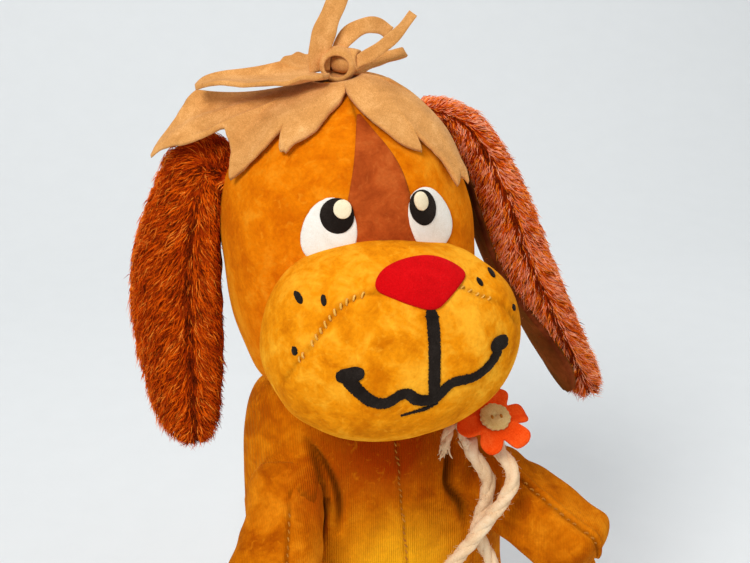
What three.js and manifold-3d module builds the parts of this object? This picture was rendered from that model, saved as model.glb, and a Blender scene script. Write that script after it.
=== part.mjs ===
// A velveteen dog hand puppet: a glove with two sleeved arms, a stuffed head on a finger tube,
// a big stuffed muzzle, felt hair and features, plush ears, and a yarn tie with a felt flower.
// Millimetres, +Z up. The puppet faces -Y and stands on its hem, which lies in the plane z = 0.

import * as THREE from 'three';
import { mergeVertices } from 'three/addons/utils/BufferGeometryUtils.js';
import Module from 'manifold-3d';

const wasm = await Module();
wasm.setup();

// ---- driving dimensions -------------------------------------------------------------------

const GAP = 0.3;                 // between pieces that touch
const ROUND_GAP = 1.1;           // between round pieces whose flat facets differ
const VELVETEEN = 1.5;           // pile and backing of one layer
const FELT = 1.3;                // hair and flower felt
const THIN_FELT = 0.8;           // eyes, nose and mouth
const YARN = 5;                  // diameter of the tie yarn's two long strands

// The glove's half-width, half-depth and height, from above the hem to the neck.
const GLOVE_CENTRE_Y = 2;
const GLOVE_PROFILE = [
  [50.5, 34.5, 8.3], [49, 34, 30], [47.5, 33, 60], [46.5, 32, 90], [46, 31.5, 115],
  [45.5, 31, 128], [42.5, 30, 136], [36, 28, 140.5], [29, 26, 143],
];
const SHOULDER_RISE = 7;         // how much higher the glove's top is at its sides
const HEM = { halfWidth: 52, halfDepth: 36, wall: 3.4, height: 8 };

// The head turns and nods about the neck ball's centre, which is the head group's origin.
const NECK = new THREE.Vector3(-3.5, 2.5, 147);
const NECK_BALL = { outer: 21.2, inner: 19, low: -35, high: 40 };
const HEAD_TURN = { yaw: 5.5, roll: -4.5, pitch: -5 };
const HEAD = { centre: [0, -8, 54], a: 40.5, b: 38, top: 48, bottom: 58, full: 0.88 };
const MUZZLE = { centre: [-0.8, -46, 28.2], a: 41, b: 29, top: 30.5, bottom: 30.5, full: 0.86 };
const FINGER_TUBE = { outer: 11.4, inner: 10.4, from: 22.5, to: 72 };

const ARM = { length: 45, rootRadius: 12.8, halfHeight: 14.5, halfDepth: 13.2 };
const GUSSET = { outer: 11.6, inner: 10.1, spread: 38 };
const ARMS = {
  left: { shoulder: [-38, -22.8, 117], towards: [-0.17, -0.62, -0.77] },
  right: { shoulder: [39, -20.6, 111], towards: [0.67, -0.6, -0.47] },
};

// Each ear's centreline, from its sewn root to its tip; its first stretch is the fixed root.
// turn is how far the flat side that carries the lining is turned from facing the head
// towards the front, in degrees.
const EARS = {
  left: {
    root: [[-34, 5, 220.5], [-41, 5, 222], [-47, 5, 222]],
    hang: [[-56.5, 5, 226], [-61, 5, 213], [-64.8, 5, 196], [-66.4, 5, 178], [-66, 4, 160], [-65.1, 3.5, 141],
      [-63.4, 3, 127]],
    headward: 1,
    turn: -58,
  },
  right: {
    root: [[17, 11, 237.5], [24, 10, 236.5], [29.5, 9, 233.5]],
    hang: [[33, 9, 230.5], [39.5, 9, 220], [46.5, 9, 203.5], [54, 8, 181.5], [64.5, 6, 158], [74.5, 5, 139],
      [79, 4, 130]],
    headward: -1,
    turn: 15,
  },
};
const EAR_WIDTHS = [8, 10.5, 13.5, 16, 17, 16, 12.5, 6.5];
const EAR_DEPTHS = [5, 6, 7, 7.8, 8, 7.8, 7, 4.5];

const FLOWER = { centre: [31, -39.5, 145.8], normal: [0.02, -0.56, 0.83], petals: 6, reach: 12.8, hub: 5 };
const TIE = { halfWidth: 36, halfDepth: 28, height: 144.5, thickness: 4.4 };

// Hand-chosen points along each free strand of the tie, from behind the flower down the chest.
const STRANDS = {
  left: [
    [24, -36, 138], [24.4, -38, 133.6], [27.3, -39, 129], [29.9, -39, 123.4], [29.7, -39, 116.9],
    [27.9, -39, 110.1], [26.8, -38.5, 103.3], [29.6, -38, 96.3], [32.6, -38, 89.8], [34, -38, 81],
    [33, -38.5, 71], [31, -38.5, 61], [30, -38.5, 51], [30.5, -38.5, 41],
  ],
  right: [
    [32.6, -37.5, 139], [33, -41, 134.7], [35.6, -43.5, 131], [36.6, -45, 126.9], [35, -45.5, 121.7],
    [31.8, -45.5, 116.4], [27.2, -45.2, 110.1], [22.8, -44.4, 103.4], [17.5, -43, 95.3], [13.5, -41.5, 86],
    [11.5, -40.5, 76], [11, -40, 66], [12, -40, 56], [12.5, -40, 46],
  ],
};

// Moves the whole puppet so that its bounding box is centred on the Z axis.
const FRAME_SHIFT = [-0.971, 16.461, 0];

// ---- materials ----------------------------------------------------------------------------

const cloth = (color, roughness = 0.95) => new THREE.MeshStandardMaterial({ color, roughness, metalness: 0 });
const MATERIALS = {
  gold: cloth(0xc98a1f),
  brown: cloth(0x8a3f1c),
  pile: cloth(0xa64a16),
  tan: cloth(0xb5834e),
  white: cloth(0xf1ede2),
  black: cloth(0x15100e),
  cream: cloth(0xf3e6c4),
  red: cloth(0xc4161c),
  orange: cloth(0xf0561d),
  yarn: cloth(0xe6dcc4),
  fill: cloth(0xe9e4d8),
  board: cloth(0xb89b72, 0.8),
};

// ---- geometry helpers ---------------------------------------------------------------------

const vec = (p) => new THREE.Vector3(...p);
const rad = THREE.MathUtils.degToRad;

// A closed geometry from points and triangles, turned so that its faces point out.
function closed(points, triangles) {
  let volume = 0;
  for (const [i, j, k] of triangles) {
    volume += points[i].dot(points[j].clone().cross(points[k]));
  }
  const index = triangles.flatMap(([i, j, k]) => (volume > 0 ? [i, j, k] : [i, k, j]));
  const geometry = new THREE.BufferGeometry();
  geometry.setAttribute('position', new THREE.Float32BufferAttribute(points.flatMap((p) => p.toArray()), 3));
  geometry.setIndex(index);
  return geometry;
}

// A wall between an outer and an inner skin, each a function of u and v from 0 to 1.
function wall(nu, nv, outer, inner, wrap = false) {
  const columns = wrap ? nu : nu + 1;
  const points = [];
  for (const skin of [outer, inner]) {
    for (let j = 0; j <= nv; j++) {
      for (let i = 0; i < columns; i++) points.push(skin(i / nu, j / nv));
    }
  }
  const at = (layer, i, j) => (layer * (nv + 1) + j) * columns + (i % columns);
  const triangles = [];
  const quad = (a, b, c, d) => triangles.push([a, b, c], [a, c, d]);
  for (let i = 0; i < nu; i++) {
    for (let j = 0; j < nv; j++) {
      quad(at(0, i, j), at(0, i + 1, j), at(0, i + 1, j + 1), at(0, i, j + 1));
      quad(at(1, i, j + 1), at(1, i + 1, j + 1), at(1, i + 1, j), at(1, i, j));
    }
    quad(at(1, i, 0), at(1, i + 1, 0), at(0, i + 1, 0), at(0, i, 0));
    quad(at(0, i, nv), at(0, i + 1, nv), at(1, i + 1, nv), at(1, i, nv));
  }
  for (let j = 0; j < nv && !wrap; j++) {
    quad(at(0, 0, j), at(0, 0, j + 1), at(1, 0, j + 1), at(1, 0, j));
    quad(at(1, nu, j), at(1, nu, j + 1), at(0, nu, j + 1), at(0, nu, j));
  }
  return closed(points, triangles);
}

// A solid through a row of rings, closed at both ends by fans to each end ring's middle.
function loft(rings) {
  const n = rings[0].length;
  const points = rings.flat();
  const triangles = [];
  for (let j = 0; j + 1 < rings.length; j++) {
    for (let i = 0; i < n; i++) {
      const next = (i + 1) % n;
      triangles.push([j * n + i, j * n + next, (j + 1) * n + next]);
      triangles.push([j * n + i, (j + 1) * n + next, (j + 1) * n + i]);
    }
  }
  const ends = [0, rings.length - 1];
  for (const end of ends) {
    const middle = rings[end].reduce((sum, p) => sum.add(p), new THREE.Vector3()).divideScalar(n);
    const hub = points.push(middle) - 1;
    for (let i = 0; i < n; i++) {
      const next = (i + 1) % n;
      triangles.push(end === 0 ? [hub, end * n + next, end * n + i] : [hub, end * n + i, end * n + next]);
    }
  }
  return closed(points, triangles);
}

function solid(geometry) {
  const bare = geometry.clone();
  bare.deleteAttribute('normal');
  bare.deleteAttribute('uv');
  const welded = mergeVertices(bare, 1e-4);
  const vertProperties = new Float32Array(welded.attributes.position.array);
  const triVerts = new Uint32Array(welded.index.array);
  return new wasm.Manifold(new wasm.Mesh({ numProp: 3, vertProperties, triVerts }));
}

function geometryOf(manifold) {
  const mesh = manifold.getMesh();
  const geometry = new THREE.BufferGeometry();
  geometry.setAttribute('position', new THREE.Float32BufferAttribute(mesh.vertProperties, 3));
  geometry.setIndex([...mesh.triVerts]);
  return geometry;
}

const cut = (geometry, ...tools) =>
  geometryOf(tools.reduce((left, tool) => left.subtract(solid(tool)), solid(geometry)));
const join = (...pieces) => geometryOf(pieces.map(solid).reduce((all, piece) => all.add(piece)));

const ball = (centre, radius, around = 18, down = 12) =>
  new THREE.SphereGeometry(radius, around, down).translate(...centre);

// A ring about Z whose closed section is given as [radius, height] points.
function turned(section, steps) {
  const profile = [...section, section[0]].map(([r, z]) => new THREE.Vector2(r, z));
  return new THREE.LatheGeometry(profile, steps).rotateX(Math.PI / 2);
}

// A belt of a ball, open at both ends, between two latitudes in degrees.
function ballBelt({ outer, inner, low, high }, steps) {
  const count = 3;
  const section = [];
  for (const [radius, from, to] of [[outer, low, high], [inner, high, low]]) {
    for (let k = 0; k <= count; k++) {
      const latitude = rad(from + ((to - from) * k) / count);
      section.push([radius * Math.cos(latitude), radius * Math.sin(latitude)]);
    }
  }
  return turned(section, steps);
}

// A round cord along points, with flat ends.
function cord(points, diameter, steps) {
  const curve = new THREE.CatmullRomCurve3(points.map(vec));
  const section = new THREE.Shape();
  const sides = 8;
  for (let k = 0; k <= sides; k++) {
    const angle = (2 * Math.PI * k) / sides;
    const [x, y] = [(diameter / 2) * Math.cos(angle), (diameter / 2) * Math.sin(angle)];
    if (k === 0) section.moveTo(x, y);
    else section.lineTo(x, y);
  }
  return new THREE.ExtrudeGeometry(section, { steps, extrudePath: curve, curveSegments: 1 });
}

// ---- egg shapes: the head and the muzzle --------------------------------------------------

// How wide the egg is at height z, from 0 at its poles to 1 at its middle.
function girth(egg, z, grow) {
  const reach = (z > 0 ? egg.top : egg.bottom) + grow;
  return Math.abs(z) < reach ? (1 - (z / reach) ** 2) ** (egg.full / 2) : 0;
}

// A point of the egg's skin at polar angle t from its top and azimuth f, both in radians.
function eggPoint(egg, t, f, grow = 0) {
  const w = Math.sin(t) ** egg.full;
  const reach = (Math.cos(t) > 0 ? egg.top : egg.bottom) + grow;
  return new THREE.Vector3(
    egg.centre[0] + (egg.a + grow) * w * Math.cos(f),
    egg.centre[1] + (egg.b + grow) * w * Math.sin(f),
    egg.centre[2] + reach * Math.cos(t),
  );
}

function eggSolid(egg, grow, around = 18, down = 12) {
  const rings = [];
  for (let j = 0; j <= down; j++) {
    const t = Math.PI * (0.03 + (0.94 * j) / down);
    const ring = [];
    for (let i = 0; i < around; i++) ring.push(eggPoint(egg, t, (2 * Math.PI * i) / around, grow));
    rings.push(ring);
  }
  return loft(rings);
}

// Where a straight line from inside the egg leaves it, lifted off the skin along its normal.
function castOut(egg, from, towards, lift) {
  const centre = vec(egg.centre);
  const level = (p) => {
    const q = p.clone().sub(centre);
    const w = girth(egg, q.z, 0);
    return w > 0 ? (q.x / (egg.a * w)) ** 2 + (q.y / (egg.b * w)) ** 2 : 9;
  };
  const along = (s) => from.clone().addScaledVector(towards, s);
  let [near, far] = [0, 90];
  for (let k = 0; k < 30; k++) {
    const middle = (near + far) / 2;
    if (level(along(middle)) < 1) near = middle;
    else far = middle;
  }
  const point = along(near);
  const step = 0.05;
  const slope = ['x', 'y', 'z'].map((axis) => {
    const [a, b] = [point.clone(), point.clone()];
    a[axis] += step;
    b[axis] -= step;
    return level(a) - level(b);
  });
  return point.addScaledVector(vec(slope).normalize(), lift);
}

// Draws on an egg from straight in front: x and z are measured from the egg's centre.
const frontOf = (egg) => (x, z, lift) => {
  const from = vec(egg.centre).add(new THREE.Vector3(x, 0, z));
  return castOut(egg, from, new THREE.Vector3(0, -1, 0), lift);
};

// Draws on an egg around one direction from its centre, x to the side and y up the skin.
function facing(egg, direction) {
  const middle = vec(direction);
  const up = new THREE.Vector3(0, 0, 1);
  const side = middle.clone().cross(up).negate().normalize();
  const climb = side.clone().cross(middle).negate().normalize();
  if (climb.z < 0) climb.negate();
  if (side.x < 0) side.negate();
  return (x, y, lift) => {
    const towards = middle.clone().addScaledVector(side, x).addScaledVector(climb, y).normalize();
    return castOut(egg, vec(egg.centre), towards, lift);
  };
}

// A patch of sheet on an egg, inside a closed outline around its own middle.
function patch(draw, middle, outline, rings, lift, thickness) {
  const n = outline.length;
  const points = [];
  for (const height of [lift + thickness, lift]) {
    points.push(draw(middle[0], middle[1], height));
    for (let j = 1; j <= rings; j++) {
      for (const [x, y] of outline) {
        const part = j / rings;
        points.push(draw(middle[0] + (x - middle[0]) * part, middle[1] + (y - middle[1]) * part, height));
      }
    }
  }
  const layer = 1 + rings * n;
  const at = (side, j, i) => side * layer + (j === 0 ? 0 : 1 + (j - 1) * n + (i % n));
  const triangles = [];
  for (let i = 0; i < n; i++) {
    triangles.push([at(0, 0, 0), at(0, 1, i), at(0, 1, i + 1)]);
    triangles.push([at(1, 0, 0), at(1, 1, i + 1), at(1, 1, i)]);
    for (let j = 1; j < rings; j++) {
      triangles.push([at(0, j, i), at(0, j + 1, i), at(0, j + 1, i + 1)]);
      triangles.push([at(0, j, i), at(0, j + 1, i + 1), at(0, j, i + 1)]);
      triangles.push([at(1, j, i), at(1, j + 1, i + 1), at(1, j + 1, i)]);
      triangles.push([at(1, j, i), at(1, j, i + 1), at(1, j + 1, i + 1)]);
    }
    triangles.push([at(0, rings, i), at(1, rings, i), at(1, rings, i + 1)]);
    triangles.push([at(0, rings, i), at(1, rings, i + 1), at(0, rings, i + 1)]);
  }
  return closed(points, triangles);
}

// An oval outline; a positive taper narrows its lower end, and tilt leans it in degrees.
function oval(middle, halfWidth, halfHeight, { taper = 0, tilt = 0, count = 16 } = {}) {
  const [c, s] = [Math.cos(rad(tilt)), Math.sin(rad(tilt))];
  return Array.from({ length: count }, (_, k) => {
    const angle = (2 * Math.PI * k) / count;
    const y = halfHeight * Math.sin(angle);
    const x = halfWidth * Math.cos(angle) * (1 + taper * Math.sin(angle));
    return [middle[0] + x * c - y * s, middle[1] + x * s + y * c];
  });
}

// A smooth closed outline through a few points.
function smoothOutline(corners, count) {
  const curve = new THREE.CatmullRomCurve3(corners.map(([x, y]) => new THREE.Vector3(x, y, 0)), true);
  return curve.getSpacedPoints(count).slice(0, count).map((p) => [p.x, p.y]);
}

// A line of sheet on an egg that follows points of [x, z, half-width].
function stroke(draw, points, steps, lift, thickness) {
  const curve = new THREE.CatmullRomCurve3(points.map(vec));
  const place = (height) => (u, v) => {
    const middle = curve.getPoint(v);
    const ahead = curve.getTangent(v);
    const across = new THREE.Vector2(-ahead.y, ahead.x).normalize().multiplyScalar(middle.z * (2 * u - 1));
    return draw(middle.x + across.x, middle.y + across.y, height);
  };
  return wall(1, steps, place(lift + thickness), place(lift));
}

// ---- the glove ----------------------------------------------------------------------------

const gloveCurve = new THREE.CatmullRomCurve3(GLOVE_PROFILE.map(vec));

// A point of the glove's skin: angle in degrees about Z, v from the hem to the neck.
function glovePoint(angle, v) {
  const side = gloveCurve.getPoint(v);
  const [c, s] = [Math.cos(rad(angle)), Math.sin(rad(angle))];
  const rise = SHOULDER_RISE * THREE.MathUtils.smoothstep(side.z, 118, 143) * c * c;
  return new THREE.Vector3(side.x * c, GLOVE_CENTRE_Y + side.y * s, side.z + rise);
}

// The skin's point moved in by the cloth's thickness.
function gloveInside(angle, v) {
  const step = 0.004;
  const [low, high] = [Math.max(0, v - step), Math.min(1, v + step)];
  const up = glovePoint(angle, high).sub(glovePoint(angle, low));
  const around = glovePoint(angle + 0.5, v).sub(glovePoint(angle - 0.5, v));
  return glovePoint(angle, v).addScaledVector(around.cross(up).normalize(), -VELVETEEN);
}

function glovePanel(from, to, across) {
  const inset = 0.25;
  const angle = (u) => from + inset + (to - from - 2 * inset) * u;
  const panel = wall(across, 9, (u, v) => glovePoint(angle(u), v), (u, v) => gloveInside(angle(u), v));
  const armholes = Object.values(ARMS).map((arm) => ball(arm.shoulder, GUSSET.outer + 1.4, 16, 10));
  return cut(panel, ...armholes);
}

function hemBand() {
  const ring = (inset) => (u, v) => {
    const angle = 2 * Math.PI * u;
    const [rx, ry] = [HEM.halfWidth - inset, HEM.halfDepth - inset];
    return new THREE.Vector3(rx * Math.cos(angle), GLOVE_CENTRE_Y + ry * Math.sin(angle), HEM.height * v);
  };
  return wall(32, 1, ring(0), ring(HEM.wall), true);
}

// ---- the arms -----------------------------------------------------------------------------

// The sleeve's half-height and half-depth at a distance from the shoulder, before the end.
function sleeveSize(x) {
  const flat = THREE.MathUtils.smoothstep(x, 8, 26);
  return [
    ARM.rootRadius + (ARM.halfHeight - ARM.rootRadius) * flat,
    ARM.rootRadius + (ARM.halfDepth - ARM.rootRadius) * flat,
  ];
}

// Half of a sleeve, along +X from the shoulder at the origin, its seams above and below.
function sleeveHalf(side) {
  const start = 9;
  const rounding = 12;
  const place = (inset) => (u, v) => {
    const x = start + (ARM.length - inset - start) * Math.min(v, 0.995);
    const nearEnd = Math.max(0, (x - (ARM.length - inset - rounding)) / rounding);
    const end = Math.sqrt(1 - nearEnd ** 2.4);
    const [high, deep] = sleeveSize(x);
    const angle = rad(-90 + side * 180 * u);
    const across = (deep - inset) * end * Math.cos(angle) + side * GAP / 2;
    return new THREE.Vector3(x, across, (high - inset) * end * Math.sin(angle));
  };
  const half = wall(8, 8, place(0), place(VELVETEEN));
  return cut(half, ball([0, 0, 0], GUSSET.outer + GAP, 16, 10));
}

// Turns +X to the arm's direction, keeping the seams in the upright plane.
function aim(group, { shoulder, towards }) {
  const ahead = vec(towards).normalize();
  const side = new THREE.Vector3(0, 0, 1).cross(ahead).normalize();
  const up = ahead.clone().cross(side);
  group.quaternion.setFromRotationMatrix(new THREE.Matrix4().makeBasis(ahead, side, up));
  group.position.set(...shoulder);
}

function armGroup(name) {
  const group = new THREE.Group();
  const belt = { ...GUSSET, low: -GUSSET.spread, high: GUSSET.spread };
  group.add(part(`${name}_armhole_gusset`, ballBelt(belt, 16).rotateY(Math.PI / 2), MATERIALS.gold));
  const inner = name === 'left' ? 1 : -1;
  group.add(part(`${name}_arm_inner_panel`, sleeveHalf(inner), MATERIALS.gold));
  group.add(part(`${name}_arm_outer_panel`, sleeveHalf(-inner), MATERIALS.gold));
  aim(group, ARMS[name]);
  return group;
}

// ---- the head -----------------------------------------------------------------------------

const neckPocket = () => ball([0, 0, 0], NECK_BALL.outer + 0.6);

// One side of the head's cover, from the crown to the neck; side is -1 or 1.
function headCover(side) {
  const place = (grow) => (u, v) => {
    const point = eggPoint(HEAD, rad(5 + 143 * v), rad(-90 + side * 180 * u), grow);
    return point.setX(point.x + side * GAP / 2);
  };
  return cut(wall(9, 11, place(0), place(-VELVETEEN)), neckPocket());
}

function headStuffing() {
  const channel = new THREE.CylinderGeometry(FINGER_TUBE.outer + GAP, FINGER_TUBE.outer + GAP, 100, 20);
  channel.rotateX(Math.PI / 2).translate(0, 0, FINGER_TUBE.to + GAP - 50);
  return cut(eggSolid(HEAD, -VELVETEEN - ROUND_GAP), neckPocket(), channel);
}

function fingerTube() {
  const { outer, inner, from, to } = FINGER_TUBE;
  return turned([[outer, from], [outer, to], [inner, to], [inner, from]], 20);
}

const headClearance = () => eggSolid(HEAD, ROUND_GAP);

// The upper or the lower half of the muzzle's cover, split along its seam line.
function muzzleCover(from, to) {
  const place = (grow) => (u, v) => eggPoint(MUZZLE, rad(from + (to - from) * v), 2 * Math.PI * u, grow);
  return cut(wall(20, 5, place(0), place(-VELVETEEN), true), headClearance());
}

const MUZZLE_SEAM = 80;          // degrees down from the muzzle's top
const muzzleStuffing = () => cut(eggSolid(MUZZLE, -VELVETEEN - ROUND_GAP - 0.4), headClearance());

function foreheadBlaze() {
  const draw = frontOf(HEAD);
  const edges = [[0.6, 41, 0.5], [0.6, 33, 5.2], [0.6, 25, 8.2], [0.2, 17, 10.2], [0, 9, 11.4], [0, 2, 12]];
  const curve = new THREE.CatmullRomCurve3(edges.map(vec));
  const place = (lift) => (u, v) => {
    const row = curve.getPoint(v);
    return draw(row.x + row.z * (2 * u - 1), row.y, lift);
  };
  const sheet = wall(2, 7, place(GAP + 0.5), place(GAP));
  return cut(sheet, eggSolid(MUZZLE, GAP), ...EYES.map((eye) => eyeTool(eye)));
}

const EYES = [
  { name: 'left', white: [-16.3, 10.6], pupil: [-13.3, 15.2], glint: [-11.3, 17.2], tilt: -16, side: -1 },
  { name: 'right', white: [16.0, 10.4], pupil: [13.3, 14.8], glint: [12.2, 16.9], tilt: 14, side: 1 },
];
const EYE = { halfWidth: 8.3, halfHeight: 10.6, pupil: [4.9, 5.9], glint: [2.5, 3.1] };

const eyeOutline = (eye, grow = 0) =>
  oval(eye.white, EYE.halfWidth + grow, EYE.halfHeight + grow, { taper: -0.12, tilt: eye.tilt });
const eyeTool = (eye) => patch(frontOf(HEAD), eye.white, eyeOutline(eye, GAP), 2, -2, 6);

function eyeParts(eye) {
  const draw = frontOf(HEAD);
  const white = cut(patch(draw, eye.white, eyeOutline(eye), 2, GAP, THIN_FELT), eggSolid(MUZZLE, GAP));
  const pupilLift = 2 * GAP + THIN_FELT;
  const pupilOutline = oval(eye.pupil, ...EYE.pupil, { tilt: eye.tilt, count: 12 });
  const pupil = patch(draw, eye.pupil, pupilOutline, 1, pupilLift, 0.6);
  const glintLift = pupilLift + 0.6 + GAP;
  const glintOutline = oval(eye.glint, ...EYE.glint, { tilt: eye.tilt, count: 10 });
  const glint = patch(draw, eye.glint, glintOutline, 1, glintLift, 0.5);
  return [
    part(`${eye.name}_eye_white`, white, MATERIALS.white),
    part(`${eye.name}_eye_pupil`, pupil, MATERIALS.black),
    part(`${eye.name}_eye_glint`, glint, MATERIALS.cream),
  ];
}

function nose() {
  const corners = [
    [-14.3, 2.5], [-9, 7.6], [0, 9], [9, 7.8], [14.3, 2.5],
    [9.5, -3.3], [3.5, -8], [0, -9], [-3.5, -8], [-9.5, -3.1],
  ];
  const draw = facing(MUZZLE, [4, -18.5, 23.5]);
  return patch(draw, [0, 1], smoothOutline(corners, 18), 2, GAP, THIN_FELT);
}

function mouth() {
  const draw = frontOf(MUZZLE);
  const smile = [
    [-24.4, 1.6, 1.9], [-22.6, -0.6, 2], [-20, -3.6, 1.7], [-16.7, -6.6, 1.6],
    [-12.2, -7.6, 1.5], [-6.5, -5.4, 1.4], [-2.7, -8.6, 1.7], [2.3, -9.4, 1.8],
    [8.2, -5.2, 1.5], [15.4, -5.5, 1.5], [21, -3.2, 1.6], [24.8, 0.8, 2.2],
  ];
  const upright = [[4.6, 16.4, 1.7], [3.2, 8, 1.7], [2.2, -2, 1.6], [2, -9, 1.5]];
  const corners = [[-22.8, 1.8], [24.4, 1.6]].map((spot) =>
    patch(draw, spot, oval(spot, 3.2, 2.3, { count: 10 }), 1, GAP, 0.5));
  return join(stroke(draw, smile, 22, GAP, 0.5), stroke(draw, upright, 6, GAP, 0.5), ...corners);
}

const WHISKERS = [[30.4, 19.4], [24.2, 19.8], [34.4, 8.2]];

function whiskerDots() {
  const dots = [];
  for (const [name, side] of [['left', -1], ['right', 1]]) {
    WHISKERS.forEach(([x, z], k) => {
      const spot = [side * x, z];
      const dot = patch(frontOf(MUZZLE), spot, oval(spot, 1.5, 1.6, { count: 8 }), 1, GAP, 0.5);
      dots.push(part(`whisker_dot_${name}_${k + 1}`, dot, MATERIALS.black));
    });
  }
  return dots;
}

// ---- felt hair ----------------------------------------------------------------------------

// Walks down the head from the crown for a length of felt. After the stretch called hug the
// felt leaves the head straight on, and its end droops. Gives the point, lifted off the head.
function hairPoint(azimuth, length, hug, lift) {
  const f = rad(azimuth);
  const at = (t) => eggPoint(HEAD, Math.max(t, 0.001), f, lift);
  const step = 0.02;
  let [t, walked] = [0, 0];
  while (walked < Math.min(length, hug)) {
    walked += at(t).distanceTo(at(t + step));
    t += step;
  }
  const over = (walked - Math.min(length, hug)) / at(t - step).distanceTo(at(t));
  t -= over * step;
  const point = at(t);
  if (length <= hug) return point;
  const free = length - hug;
  const ahead = at(t + step).sub(at(t - step)).normalize();
  point.addScaledVector(ahead, free);
  return point.setZ(point.z - 0.022 * Math.max(0, free - 30) ** 2);
}

// A lobed sheet of felt about the crown. Its edge goes through [azimuth, reach] points, and
// hug says how far it follows the head.
function hairFelt(edge, hug, lift, start, rows = 4) {
  const columns = edge.length - 1;
  const spot = (u) => {
    const place = Math.min(u * columns, columns - 1e-6);
    const k = Math.floor(place);
    const part = place - k;
    return [0, 1].map((n) => edge[k][n] * (1 - part) + edge[k + 1][n] * part);
  };
  const place = (height) => (u, v) => {
    const [azimuth, reach] = spot(u);
    return hairPoint(azimuth, start + (reach - start) * v, hug(azimuth), height);
  };
  return wall(columns, rows, place(lift + FELT), place(lift));
}

const HAIR = {
  left: {
    edge: [
      [-97, 14.5], [-110, 18], [-126, 22], [-139, 35], [-147, 28], [-158, 34], [-165, 39], [-172, 45],
      [-176, 37], [-182, 45], [-188, 58], [-196, 50], [-204, 44],
    ],
    hug: (azimuth) => 3 + 57 * THREE.MathUtils.clamp((azimuth + 190) / 20, 0, 1) ** 2,
  },
  right: {
    edge: [
      [-93, 14.5], [-79, 28], [-70, 33], [-61, 41], [-57, 34.5], [-47, 43], [-40, 60], [-35, 54], [-27, 55],
      [-30, 30], [-36, 18],
    ],
    hug: () => 60,
  },
  back: {
    edge: [
      [30, 30], [40, 42], [50, 33], [62, 46], [74, 35], [88, 48], [102, 36], [116, 46], [128, 35], [142, 44],
    ],
    hug: () => 60,
  },
  top: {
    edge: [
      [95, 14], [125, 20], [148, 18], [160, 30], [167, 39],
      [173, 38], [181, 30], [195, 27], [212, 18], [240, 14],
    ],
    hug: () => 1.5,
  },
};

function hairParts() {
  const low = 1.5;
  const high = low + FELT + 1.2;
  return ['left', 'right', 'back', 'top'].map((name) => {
    const { edge, hug } = HAIR[name];
    const sheet = hairFelt(edge, hug, name === 'top' ? high : low, 8);
    return part(`hair_felt_${name}`, sheet, MATERIALS.tan);
  });
}

// A flat strip of felt along a curve, its flat side facing the given way.
function strip(points, width, face) {
  const curve = new THREE.CatmullRomCurve3(points.map(vec));
  const place = (side) => (u, v) => {
    const across = curve.getTangent(v).cross(vec(face)).normalize();
    const out = across.clone().cross(curve.getTangent(v)).normalize();
    const narrow = 1 - 0.35 * Math.max(0, v - 0.75);
    const point = curve.getPoint(v).addScaledVector(out, side * FELT * 0.5);
    return point.addScaledVector(across, width * narrow * (u - 0.5));
  };
  return wall(1, 8, place(1), place(-1));
}

const TOPKNOT = { centre: [-0.5, -9, 108], radii: [5.7, 5.6, 5.3] };
const TOPKNOT_STRIPS = [
  [[-10, -9, 107.8], [-8.8, -9, 113.5], [-4.6, -9.5, 119.8], [0, -10, 125.8], [3.4, -10.5, 131.5]],
  [[1.5, -8, 114.2], [5.1, -8, 116.4], [10, -8.5, 118], [14.8, -9, 117.8], [18.4, -9.5, 114.8]],
  [[5.9, -13, 109.6], [9, -15, 111], [13.4, -17, 112.6], [18, -18.5, 116], [22.4, -19.5, 120.8]],
  [[6.2, -8.5, 106.4], [9.5, -8, 107], [13, -8, 107.2], [17.1, -8.5, 107.4], [20.9, -9, 107.6]],
];

function topknotParts() {
  const knot = new THREE.SphereGeometry(1, 12, 8).rotateX(Math.PI / 2);
  knot.scale(...TOPKNOT.radii).translate(...TOPKNOT.centre);
  const faces = [[0.2, -1, 0], [0, -0.5, 1], [-0.4, -0.6, 0.8], [0, -0.3, 1]];
  const strips = TOPKNOT_STRIPS.map((points, k) =>
    part(`topknot_strip_${k + 1}`, strip(points, k === 0 ? 7 : 6, faces[k]), MATERIALS.tan));
  return [part('topknot_knot', knot, MATERIALS.tan), ...strips];
}

// ---- the ears -----------------------------------------------------------------------------

// The ear's section at v along its centreline. Its depth lies along the flat side's normal,
// which points away from the lining, and its width lies along the flat side.
function earSection({ headward, turn }, points, v, first, last) {
  const curve = new THREE.CatmullRomCurve3(points.map(vec));
  const ahead = curve.getTangent(v);
  const level = new THREE.Vector3(0, 1, 0).cross(ahead).normalize().multiplyScalar(-headward);
  const back = new THREE.Vector3(0, 1, 0);
  const lining = level.clone().multiplyScalar(Math.cos(rad(turn)));
  lining.addScaledVector(back, -Math.sin(rad(turn)));
  const width = back.multiplyScalar(Math.cos(rad(turn))).addScaledVector(level, Math.sin(rad(turn)));
  const size = (table) => {
    const place = Math.min(first + (last - first) * v, table.length - 1 - 1e-6);
    const k = Math.floor(place);
    return THREE.MathUtils.lerp(table[k], table[k + 1], place - k);
  };
  const middle = curve.getPoint(v);
  return { middle, lining, width, halfWidth: size(EAR_WIDTHS), halfDepth: size(EAR_DEPTHS) };
}

// A point of the section's rim; at 0 the angle points out of the lining's middle.
function earPoint({ middle, lining, width, halfWidth, halfDepth }, angle, grow) {
  return middle.clone()
    .addScaledVector(lining, (halfDepth + grow) * Math.cos(angle))
    .addScaledVector(width, (halfWidth + grow) * Math.sin(angle));
}

function earLoft(ear, points, first, last, rows) {
  const rings = [];
  for (let j = 0; j <= rows; j++) {
    const section = earSection(ear, points, j / rows, first, last);
    rings.push(Array.from({ length: 14 }, (_, i) => earPoint(section, (2 * Math.PI * i) / 14, 0)));
  }
  return loft(rings);
}

const LAST_EAR_SIZE = EAR_WIDTHS.length - 1;

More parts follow.
